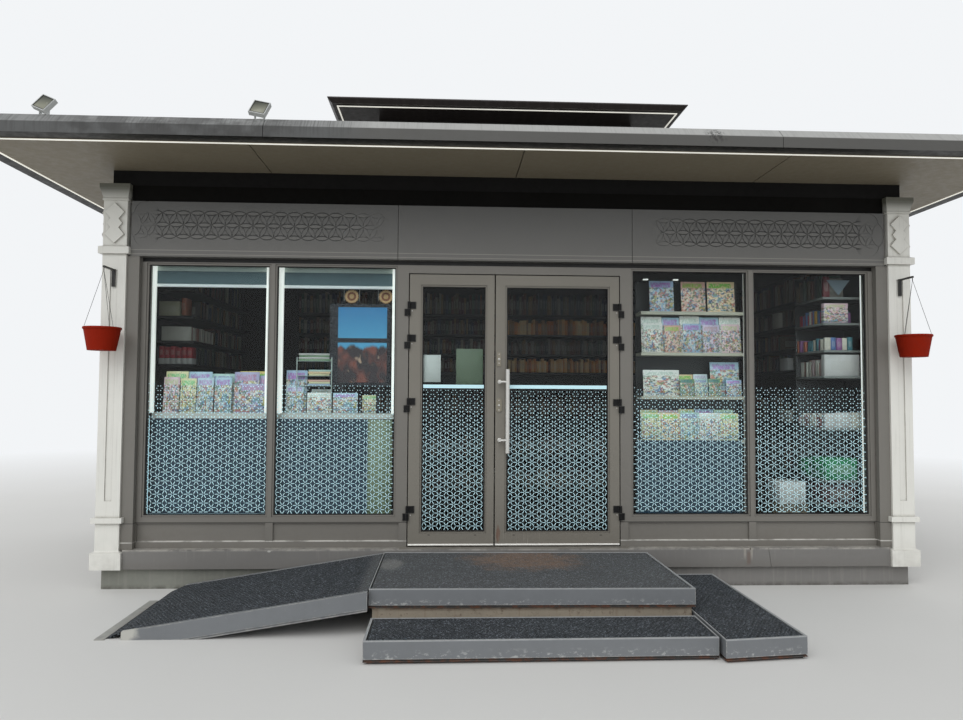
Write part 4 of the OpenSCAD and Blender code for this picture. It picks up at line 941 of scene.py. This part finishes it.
def hung_cloth(x0, x1, y):
    """Cloth from the roller down to the bar: a quarter turn off the roller, then straight down with
    ripples that grow towards the middle of its width. u runs across it and s down it, in mm."""
    u = np.linspace(0, 1, 60)
    s = np.linspace(0, CLOTH_LENGTH, 24)
    turn = np.clip(s / ROLL, 0, np.pi / 2)
    z = CLOTH_TOP - ROLL + ROLL * np.cos(turn) - np.maximum(s - ROLL * np.pi / 2, 0)
    back = y + ROLL - ROLL * np.sin(turn)
    ripple = 1.1 * np.sin(u * 17.0) * np.sin(u * np.pi)
    away = back[:, None] + ripple * np.clip((s - 20) / 60, 0, 1)[:, None]
    p = np.stack(np.broadcast_arrays(x0 + (x1 - x0) * u, away, z[:, None]), axis=-1)
    uv = np.stack(np.broadcast_arrays((x1 - x0) / 1000 * u, s[:, None] / 1000), axis=-1)
    return p, grid_faces(len(s), len(u))[:, ::-1], None, uv


cloth = blind_cloth()
bar_white = coat("blind bar paint", (248, 250, 248), 0.03, 0.0, 0.4)
cassette = coat("blind cassette", (176, 188, 180), 0.05, 0.1, 0.45)
for name, x0, x1 in (("left", -2868.0, -1944.0), ("second", -1877.0, -953.0)):
    tube = turned([(0, x0 + 6), (ROLL - 1, x0 + 6), (ROLL - 1, x1 - 6), (0, x1 - 6)],
                  (0, 202, CLOTH_TOP - ROLL), "x", 28)
    roller = piece(f"{name}_blind_roller", [tube], satin, smooth=40)
    piece(f"{name}_blind_cassette", [
        blocks([(x0, 183, 2468), (x0, 183, 2515)], [(x1, 187, 2520.5), (x1, 226, 2520.5)], 1.5),
        blocks([(x0, 187.5, 2480), (x1 - 4, 187.5, 2480)], [(x0 + 4, 226, 2514.5), (x1, 226, 2514.5)], 1)], cassette)
    bar = piece(f"{name}_blind_bar", [blocks((x0 + 2, 182, 2340), (x1 - 2, 195, 2365), 4)], bar_white)
    sheet = piece(f"{name}_blind", [hung_cloth(x0 + 7, x1 - 7, 189)], cloth, smooth=60,
                  stands_for=("window_blinds",))
    sheet.modifiers.new("cloth thickness", "SOLIDIFY").thickness = 0.0006


# What stands on the ledge, the rack and the shelves

PASTELS = inks((192, 214, 224), (232, 226, 176), (194, 218, 190), (230, 198, 204), (218, 230, 232), (176, 204, 218),
               (210, 196, 218), (238, 236, 228), (242, 212, 168), (178, 208, 200), (226, 178, 162), (168, 192, 216))
DEEP = inks((92, 52, 38), (40, 50, 66), (84, 72, 50), (48, 66, 52), (108, 98, 84), (70, 34, 34), (50, 46, 42),
            (112, 82, 46), (120, 114, 104), (34, 38, 46))
WARM = inks((222, 138, 70), (232, 176, 116), (196, 112, 62), (168, 126, 86), (240, 204, 150), (132, 76, 50))
PALE = inks((198, 192, 178), (182, 160, 158), (168, 120, 110), (206, 202, 190), (150, 96, 92))
BRIGHT = inks((176, 60, 70), (196, 150, 60), (60, 120, 130), (150, 96, 150), (206, 120, 90), (92, 120, 170),
              (214, 206, 190))
VIOLET, YELLOW, GREEN = inks((176, 172, 204), (222, 200, 110), (116, 150, 112))
CREAM, ORANGE, RED, SNOW = inks((178, 174, 146), (182, 112, 84), (176, 52, 58), (206, 202, 198))
LEAF_GREEN, BROWN, WINE, PINK = inks((28, 136, 84), (96, 84, 66), (112, 42, 48), (232, 196, 204))


def tints(palette, count):
    """Colours drawn from a palette, one for each of count things."""
    return np.array([palette[int(i)] for i in seed.integers(len(palette), size=count)])


def fronts(spots, y, palette=PASTELS, thick=6.0, lean=0.1):
    """Upright things seen from the front, one for each spot (x0, x1, z0, z1), leaning back."""
    spots = np.atleast_2d(np.asarray(spots, float))
    start = y + 4 * seed.random(len(spots)) + 3 * (np.arange(len(spots)) % 2)
    low = np.column_stack([spots[:, 0], start, spots[:, 2]])
    high = np.column_stack([spots[:, 1], start + thick, spots[:, 3]])
    return blocks(low, high, 0.6, tints(palette, len(spots)), lean)


def row(x0, x1, z, height, y, count, palette=PASTELS, gap=6.0, **how):
    """count upright covers that fill x0 to x1 on the level z, of uneven width and height."""
    share = 1 + 0.12 * seed.uniform(-1, 1, count)
    edge = x0 + (x1 - x0) * np.concatenate([[0], np.cumsum(share / share.sum())])
    top = z + height * (1 - 0.08 * seed.random(count))
    spots = np.column_stack([edge[:-1] + gap / 2, edge[1:] - gap / 2, np.full(count, z), top])
    return fronts(spots, y, palette, **how)


def stack(x0, x1, z, y0, y1, count, thick, palette):
    """Flat books one on another, each turned and shifted a little."""
    shift = seed.uniform(-6, 6, (count, 2))
    base = z + thick * np.arange(count)
    low = np.column_stack([x0 + shift[:, 0], y0 + shift[:, 1], base])
    high = np.column_stack([x1 + shift[:, 0], y1 + shift[:, 1], base + thick * 0.94])
    return blocks(low, high, 1.2, tints(palette, count), 0.0, seed.uniform(-3, 3, count))


def spines(x0, x1, z, y0, y1, height, palette, along="x", low_share=0.72):
    """A shelf of upright books, 14 to 38 mm thick and of uneven height, from x0 to x1 or from y0 to y1. Their
    backs stand a little in from the shelf's open side."""
    length = (x1 - x0) if along == "x" else (y1 - y0)
    edge = np.concatenate([[0], np.cumsum(seed.uniform(14, 38, int(length / 18)))])
    keep = edge[1:] < length
    a, b = edge[:-1][keep], edge[1:][keep] - 0.8
    h = z + height * seed.uniform(low_share, 1, len(a))
    deep = seed.uniform(0, 25, len(a))
    if along == "x":
        x_low, x_high, y_low, y_high = x0 + a, x0 + b, y0 + deep, y1 + 0 * a
    else:
        y_low, y_high = y0 + a, y0 + b
        x_low, x_high = (x0 + 0 * a, x1 - deep) if x0 < 0 else (x0 + deep, x1 + 0 * a)
    low, high = np.column_stack([x_low, y_low, z + 0 * a]), np.column_stack([x_high, y_high, h])
    return blocks(low, high, 1.5, tints(palette, len(a)))


LEDGE = 1340.5
piece("ledge_magazines", [
    row(-2800, -2250, LEDGE, 336, 264, 3, gap=2),
    row(-2805, -2262, LEDGE, 296, 226, 4, gap=8),
    fronts((-2250, -2052, LEDGE, 1668), 244, [VIOLET]), fronts((-2050, -1978, LEDGE, 1640), 258, [VIOLET]),
    fronts((-2221, -1984, LEDGE + 2, 1676), 290, [YELLOW]),
    row(-2190, -1985, LEDGE, 240, 224, 1, [VIOLET, PASTELS[0]]),
    fronts((-1838, -1670, LEDGE, 1685), 252), fronts((-1828, -1690, LEDGE, 1560), 226),
    fronts([(-1662, -1468, LEDGE, 1504), (-1456, -1258, LEDGE, 1504)], 230, PASTELS[3:9], 8.0),
    fronts([(-1640, -1480, LEDGE, 1532), (-1230, -1100, LEDGE, 1486)], 300),
], covers)

RACK = (1132.5, 1492.5, 1853.5, 2193.5)
piece("rack_magazines", [
    fronts([(1136, 1339, RACK[3], 2451), (1404, 1608, RACK[3], 2448), (1623, 1854, RACK[3], 2449)], 250),
    row(1068, 1910, RACK[2], 308, 262, 5, gap=3), row(1076, 1900, RACK[2], 246, 246, 5, gap=16),
    fronts((1083, 1385, RACK[1], 1709), 262, PASTELS[7:8]),
    row(1383, 1728, RACK[1], 152, 246, 3, [GREEN, PASTELS[2], PASTELS[9]]),
    row(1390, 1650, RACK[1], 190, 330, 2), fronts((1661, 1906, RACK[1], 1779), 300, PASTELS[4:6]),
    fronts((1777, 1905, RACK[1], 1630), 250, [PASTELS[11]]),
    row(1065, 1880, RACK[0], 233, 250, 5, gap=2), row(1075, 1870, RACK[0], 255, 330, 5),
], covers)

SHELVES = np.array([400, 780, 1220, 1725, 1930, 2148, 2375]) + 22.5
ROOM = np.diff(np.append(SHELVES, 2760)) - 24
books = []
for number, (shelf, room) in enumerate(zip(SHELVES, ROOM)):
    tall = min(250, room * 0.9)
    books += [spines(-2200, 80, shelf, 2590, 2760, tall, DEEP),
              spines(100, 2200, shelf, 2590, 2760, tall, WARM if number in (3, 5) else DEEP),
              spines(2790, 3040, shelf, 860 if number != 4 else 1500, 2530, tall, DEEP, "y"),
              spines(-3040, -2790, shelf, {4: 1500, 5: 1120}.get(number, 1000), 2530, tall, DEEP, "y")]
books += [spines(-3040, -2780, SHELVES[4], 810, 1490, 128, PALE, "y", 0.9),
          spines(-3040, -2790, SHELVES[2], 1010, 2500, 400, WARM, "y", 0.5)]
piece("wall_books", books, goods)

packs = np.linspace(-3062, -2770, 7)
tops = 1890 + 16 * seed.random(6)
piece("shelf_boxes", [
    blocks((-3066, 812, SHELVES[5]), (-2889, 1010, 2300), 2, CREAM),
    blocks((-2872, 812, SHELVES[5] + 9), (-2834, 960, 2330), 2, ORANGE),
    blocks([(x, 815, SHELVES[3]) for x in packs[:-1]], [(x - 3, 930, 1800) for x in packs[1:]], 3, SNOW),
    blocks([(x + 2, 818, 1800.2) for x in packs[:-1]], [(x - 5, 927, z) for x, z in zip(packs[1:], tops)], 3, RED),
    blocks((2759, 1450, SHELVES[5]), (3038, 1600, 2328), 2, PALE[0]),
    blocks((2755, 1250, SHELVES[3]), (3040, 1420, 1866), 2, SNOW),
    blocks((2760, 1250, SHELVES[2]), (3050, 1500, 1364), 2, PALE[3]),
], goods)

SIDE_RACK = (600, 800, 1232, 1667, 1884, 2113, 2330)
ON_RACK = [z + 0.5 for z in SIDE_RACK]
piece("side_rack", [blocks([(2610, 262, z - 18) for z in SIDE_RACK], [(3058, 776, z) for z in SIDE_RACK], 1.5),
                    blocks((2612, 777, 304), (3060, 787, 2560), 1.5)], shelf_dark)
piece("side_rack_edges", [blocks([(2604, y0, z - 19) for z in SIDE_RACK], [(x1, y1, z + 1) for z in SIDE_RACK], 1)
                          for y0, x1, y1 in ((262, 2609.5, 776), (256, 3056, 261.5))],
      board("shelf edging", (120, 122, 118), 0.45))
piece("side_rack_boxes", [
    spines(2616, 2800, ON_RACK[6], 300, 770, 200, DEEP, "y"),
    fronts((2616, 2668, ON_RACK[6], 2505), 268, [WINE], 30.0, 0.0),
    spines(2640, 2880, ON_RACK[5], 330, 770, 130, BRIGHT, "y"),
    spines(2616, 2830, ON_RACK[4], 300, 770, 112, BRIGHT, "y"),
    row(2618, 2860, ON_RACK[4], 112, 266, 5, BRIGHT, thick=24.0, lean=0.0),
    fronts((2618, 2916, ON_RACK[3], 1848), 268, [SNOW], 60.0, 0.0),
    spines(2640, 2880, ON_RACK[3], 340, 770, 150, PALE, "y"),
    row(2612, 2950, ON_RACK[2], 134, 268, 3, [SNOW, PALE[0]], thick=60.0, lean=0.0),
    spines(2616, 2880, ON_RACK[2], 340, 770, 120, PALE, "y"),
    blocks((2614, 266, ON_RACK[1]), (2884, 560, 983), 8, LEAF_GREEN),
    blocks((2616, 570, ON_RACK[1]), (2860, 770, 950), 8, LEAF_GREEN),
    blocks((2614, 300, ON_RACK[0]), (2900, 740, 770), 8, DEEP[5]),
    blocks((2226, 300, 301), (2474, 560, 598), 3, BROWN), blocks((2238, 306, 598.5), (2461, 540, 783), 3, SNOW),
], goods)
piece("side_rack_covers", [fronts((2616, 2822, ON_RACK[5], 2279), 266, [PINK], 50.0, 0.0)], covers)
flag = [(2640, 268, 2475), (2740, 262, 2346), (2842, 268, 2475)]
piece("pennant", [(flag, np.array([[0, 1, 2]]), None, [[0, 1], [0.5, 0], [1, 1]])],
      board("pennant card", (112, 126, 134), 0.5, 0.05, 0.0))
piece("counter_end", [blocks((-1168, 206, 532), (-975, 222, 1292), 2)], board("pale green board", (126, 138, 108), 0.5))

STAND = (1561, 1642, 1762)
piece("pack_stand", [blocks([(x, 240, LEDGE) for x in (-1752, -1474)], [(x, 248, 1790) for x in (-1744, -1466)], 1),
                     blocks([(-1752, 240, z - 4) for z in STAND], [(-1466, 380, z) for z in STAND], 1)], cassette)
piece("book_stacks", [stack(x0, x1, z + 0.5, 250, 370, count, thick, palette) for x0, x1, z, count, thick, palette in (
    (-1655, -1475, STAND[0], 3, 16, PASTELS), (-1655, -1475, STAND[1], 3, 16, PASTELS),
    (-1735, -1480, STAND[2], 4, 15, [GREEN, SNOW]))], goods)


SCALLOPS = 17


def rosette(centre, radius):
    """A thin disc with a scalloped border: its radius swings by a twentieth as it goes round."""
    a = np.linspace(0, 2 * np.pi, 5 * SCALLOPS, endpoint=False)
    share = np.array([0, 0.34, 0.36, 0.62, 0.64, 0.86, 1, 1])[:, None]
    r = radius * share * (1 + 0.05 * share ** 4 * np.cos(SCALLOPS * a))
    y = np.array([0, 0, 1.2, 1.2, 0, 0, 0.6, 3])[:, None] + 0 * a
    p = np.stack([centre[0] - r * np.cos(a), centre[1] + y, centre[2] + r * np.sin(a)], axis=-1)
    ring = np.array([(0.55, 0.36, 0.16), (0.5, 0.3, 0.12), (0.2, 0.06, 0.02), (0.24, 0.08, 0.03), (0.56, 0.33, 0.13),
                     (0.6, 0.38, 0.18), (0.3, 0.14, 0.06), (0.3, 0.14, 0.06)])
    return p, grid_faces(len(ring), len(a), False, True), np.repeat(ring, len(a), axis=0)


DISCS = ((-1316, 238, 2287), (-1040, 238, 2287))
threads = [(x + aside, z) for x, _, z in DISCS for aside in (-62, 62)]
piece("hanging_discs", [rosette(c, 57) for c in DISCS], goods)
piece("disc_threads", [blocks((x - 1.2, 239.5, z - 40), (x + 1.2, 241.5, 2740), 0.5) for x, z in threads], ledge_board)

for name, ink, low, high in (("notice", (196, 198, 192), (-727, 109.6, 1594), (-589, 110.6, 1810)),
                             ("leaflet", (92, 106, 84), (-466, 109.6, 1564), (-253, 110.6, 1861))):
    piece(name, [blocks(low, high, 0.3)], board(f"{name} paper", ink, 0.6, 0.05, 0.0), "left_leaf")


def display_print():
    """The sheet in the display panel: a pale sky over dark and reddish ground shapes, made up here."""
    finish, r = new_finish("display sheet")
    uv = r.map()
    u, v, _ = r.split(uv)
    wave = r.noise(r.node("CombineXYZ", {0: r.mul(u, 5.0), 1: 3.0, 2: 0.0}), 1.0, 3.0)
    line = r.math(r.mul(wave, 0.22), 0.36, "ADD")
    sky = r.layers(linear(84, 168, 208), ((44, 122, 182), r.between(v, 0.5, 1.0, 0.0, 0.8)))
    dark = r.layers(linear(52, 42, 44), ((126, 70, 58), r.between(r.noise(uv, 3.2, 2.0), 0.46, 0.62)),
                    ((176, 146, 122), r.between(r.noise(uv, 5.0, 2.0), 0.6, 0.68)))
    shader(r, r.layers(sky, (dark, r.between(r.math(v, line, "SUBTRACT"), -0.02, 0.02, 1.0, 0.0)),
                       ((22, 24, 34), r.band(v, 0.53, 0.585, 0.006))), 0.2)
    return finish


piece("display_sheet", [upright_sheet(-1424, -1029, 1590, 2200, 249.4)], display_print())
piece("rack_light_arms", [blocks([(1062, 421, 2460), (1094, 240, 2461.5), (1346, 240, 2461.5)],
                                 [(1400, 437, 2470), (1104, 430, 2467), (1356, 430, 2467)], 1)],
      shelf_dark)
piece("rack_lights", [blocks((x, 236, 2452), (x + 42, 262, 2462), 2) for x in (1078, 1330)], diffuser)


# Fittings on the leaves

def button(centre, radius, reach, sides=20):
    """A round cap that stands out from a face at y by its reach: a short drum with a rounded edge."""
    r = np.array([0, 0.7, 0.93, 1, 1, 0]) * radius
    h = -np.array([1, 1, 0.8, 0.45, 0, 0]) * reach
    return turned(np.column_stack([r, h]), centre, "y", sides)


LOCKS = ((1778, 9, 5), (1746, 4, 2.5), (1412, 8.5, 6), (1376, 4, 2), (1452, 4, 2), (1818, 4, 2))
piece("lock_cylinders", [button((-126, 64.2, z), radius, reach) for z, radius, reach in LOCKS],
      satin, "right_leaf", 35)
KEYWAYS = ((58.4, 1772), (57.4, 1406))
piece("lock_slots", [blocks([(-127.2, y, z) for y, z in KEYWAYS], [(-124.8, y + 2, z + 12) for y, z in KEYWAYS], 0.4)],
      dark_seal, "right_leaf")
piece("handle_roses", [button((-120, 71.5, z), 17, 6) for z in (1138, 1598)], satin, "right_leaf", 35)
for name, spots in (("left", ((-672, 396), (-309, 395))), ("right", ((-5, 394), (687, 392)))):
    slots = blocks([(x - 9, 71.3, z - 2.5) for x, z in spots], [(x + 9, 72.6, z + 2.5) for x, z in spots], 0.4)
    piece(f"{name}_leaf_drain_slots", [slots], dark_seal, f"{name}_leaf")
for name, x0, x1 in (("left", -836, -166), ("right", -152, 836)):
    piece(f"{name}_leaf_foot_strip", [blocks((x0, 65.5, 314), (x1, 71.9, 327), 1.5)], foot_strip, f"{name}_leaf")
HINGES = (566, 1411, 1912, 2173)
for name, x in (("left", -818), ("right", 818)):
    screws = [button((x, 71.6, z + up), 4, 1.6, 12) for z in HINGES for up in (-16, 16)]
    piece(f"{name}_hinge_screws", screws, satin, f"{name}_leaf", 35)


# Floodlights, pots and the roof's small parts

LAMPS = ((-3296, -20, 24), (-1845, -8, 13))
LAMP_TILT = -28
LAMP_W, LAMP_T = 118, 35.4


def lamp_place(x, turn, lean):
    """The matrix and offset that a floodlight's head is turned by: the tilt about x, the lean about y, then the
    turn about z, over the hub."""
    spin = Matrix.Rotation(math.radians(turn), 3, "Z")
    head = Matrix.Rotation(math.radians(lean), 3, "Y") @ Matrix.Rotation(math.radians(LAMP_TILT), 3, "X")
    return np.array(spin @ head), np.array((x, -707, 3380)) + np.array(spin @ Vector((0, 0, LAMP_W * 0.69)))


def lens_sheet(half, rise):
    """A glass that bulges towards -y: it stands out most in its middle, as the product of two cosines."""
    s = np.linspace(-1, 1, 13)
    u, v = np.meshgrid(s, s)
    y = -LAMP_T / 2 + 3.4 - rise * np.cos(u * np.pi / 2) * np.cos(v * np.pi / 2)
    p = np.stack([half * u, y, half * v], axis=-1)
    return p, grid_faces(len(s), len(s)), None, np.stack([u, v], axis=-1) / 2 + 0.5


def lens_glass():
    """A floodlight's glass: pale olive low down and to the right, dark green at the top where the hood shades it."""
    finish, r = new_finish("floodlight glass")
    u, v, _ = r.split(r.map())
    top = r.between(r.math(v, r.mul(u, 0.35), "SUBTRACT"), 0.05, 0.75)
    shader(r, r.layers(linear(128, 128, 112), ((54, 57, 44), top)), 0.15)
    return finish


half, face, back = LAMP_W / 2, -LAMP_T / 2, LAMP_T / 2
rim = half - 5.5
seal = [(0, face + 0.4), (0, face + 3.9), (5, face + 3.9), (5, face + 0.8), (2, face)]
at = np.linspace(-42, 42, 7)
for name, shape, finish, smooth in (
        ("lenses", lens_sheet(half - 8, 2.6), lens_glass(), 60),
        ("seals", upright_ring((-rim, rim, -rim, rim), seal), dark_seal, 0),
        ("fins", blocks([(x - 2, back - 1, -44) for x in at], [(x + 2, back + 9, 44) for x in at], 1), lamp_metal, 0)):
    piece(f"floodlight_{name}", [moved(shape, *lamp_place(*lamp)) for lamp in LAMPS], finish, smooth=smooth)


def pot_earth(centre, radius):
    """Earth in a pot: rings round the middle, heaped there, with lumps from crossing waves."""
    s, a = np.linspace(0.001, 1, 16)[:, None], np.linspace(0, 2 * np.pi, 40, endpoint=False)[None]
    lumps = 4 * np.sin(5 * a + 7 * s) * np.sin(9 * s) + 2.4 * np.sin(11 * a - 17 * s)
    z = 8 * (1 - s ** 2) + lumps * (1 - s ** 6)
    p = np.stack([radius * s * np.cos(a), radius * s * np.sin(a), z], axis=-1) + np.array(centre)
    return p, grid_faces(s.size, a.size, False, True)[:, ::-1]


RIM = [(121, 1972), (130.5, 1966), (133.5, 1968), (134.5, 1975), (133.5, 1981), (131, 1983.5), (125, 1983.5),
       (122.6, 1981), (122, 1975), (121, 1972)]
POTS = ((-3110, -170), (3110, -170))
piece("pot_rims", [turned(RIM, (x, y, 0), "z", 48) for x, y in POTS], clay, smooth=50)
piece("pot_earth", [pot_earth((x, y, 1966), 122.5) for x, y in POTS], earth, smooth=70)


# Camera, light and floor

PICTURE_WIDTH, SENSOR = 963, 36.0


def set_camera():
    """The camera that was solved from the picture: place, bearing, pitch, roll and focal length in pixels."""
    yaw, pitch, roll, focal = 0.045249, 0.044761, 0.005742, 752.679
    forward = Vector((math.sin(yaw) * math.cos(pitch), math.cos(yaw) * math.cos(pitch), math.sin(pitch)))
    right = Vector((math.cos(yaw), -math.sin(yaw), 0.0))
    up = right.cross(forward)
    across = right * math.cos(roll) + up * math.sin(roll)
    above = -right * math.sin(roll) + up * math.cos(roll)
    data = bpy.data.cameras.new("camera")
    data.sensor_width, data.sensor_fit, data.lens = SENSOR, "HORIZONTAL", focal * SENSOR / PICTURE_WIDTH
    data.clip_end = 200.0
    camera = bpy.data.objects.new("camera", data)
    turn = Matrix((across, above, -forward)).transposed()
    camera.matrix_world = Matrix.Translation((-0.535757, -7.391183, 1.503728)) @ turn.to_4x4()
    bpy.context.scene.collection.objects.link(camera)
    bpy.context.scene.camera = camera


SURROUND = (0.96, 0.98, 1.0, 1.0)
SEEN, LIT = 0.93, 0.78


def seen_rays(r):
    """1 for camera rays and for mirrored and passed ones."""
    path = r.node("LightPath", out=None).outputs
    seen = r.math(path["Is Camera Ray"], path["Is Glossy Ray"], "MAXIMUM")
    return r.math(seen, path["Is Transmission Ray"], "MAXIMUM")


def set_light():
    """An even pale surround and one soft sun. The surround has the strength SEEN in the rays that show it, and
    lights the object at LIT."""
    world = bpy.data.worlds.new("surround")
    bpy.context.scene.world = world
    world.use_nodes = True
    r = Recipe(world.node_tree)
    light = r.node("Background", {"Color": SURROUND, "Strength": r.between(seen_rays(r), 0.0, 1.0, LIT, SEEN)})
    r.tree.links.new(light, r.tree.nodes.new("ShaderNodeOutputWorld").inputs["Surface"])
    sun = bpy.data.lights.new("soft sun", "SUN")
    sun.energy, sun.angle = 1.1, math.radians(50)
    lamp = bpy.data.objects.new("soft sun", sun)
    lamp.rotation_euler = (math.radians(48), 0, math.radians(-22))
    bpy.context.scene.collection.objects.link(lamp)


FLOOR_HALF, FLOOR_LINES, FLOOR_Z = 30000, 41, -0.3


def set_floor():
    """A level pale floor that turns into the surround's colour 7 to 16 m out, so that no edge shows."""
    finish, r = new_finish("pale floor")
    shade = r.layers(linear(214, 213, 210), ((206, 205, 202), r.cloud(0.6, 0.3, 0.7, 0.0, 0.35, rough=0.5)))
    body = r.node("BsdfPrincipled", {"Base Color": shade, "Roughness": 0.85})
    far = r.node("Emission", {"Color": SURROUND, "Strength": SEEN})
    out_there = r.between(r.node("VectorMath", {0: r.place()}, out="Value", operation="LENGTH"), 7.0, 16.0)
    mixed = r.node("MixShader", {0: r.mul(seen_rays(r), out_there), 1: body, 2: far})
    r.tree.links.new(mixed, r.tree.nodes.new("ShaderNodeOutputMaterial").inputs["Surface"])
    x, y = np.meshgrid(*[np.linspace(-FLOOR_HALF, FLOOR_HALF, FLOOR_LINES)] * 2)
    p = np.stack([x, y + HALF_DEPTH, np.full(x.shape, FLOOR_Z)], axis=-1)
    piece("studio_floor", [(p, grid_faces(FLOOR_LINES, FLOOR_LINES))], finish)


set_camera()
set_light()
set_floor()
bpy.context.scene.view_settings.view_transform = "Standard"
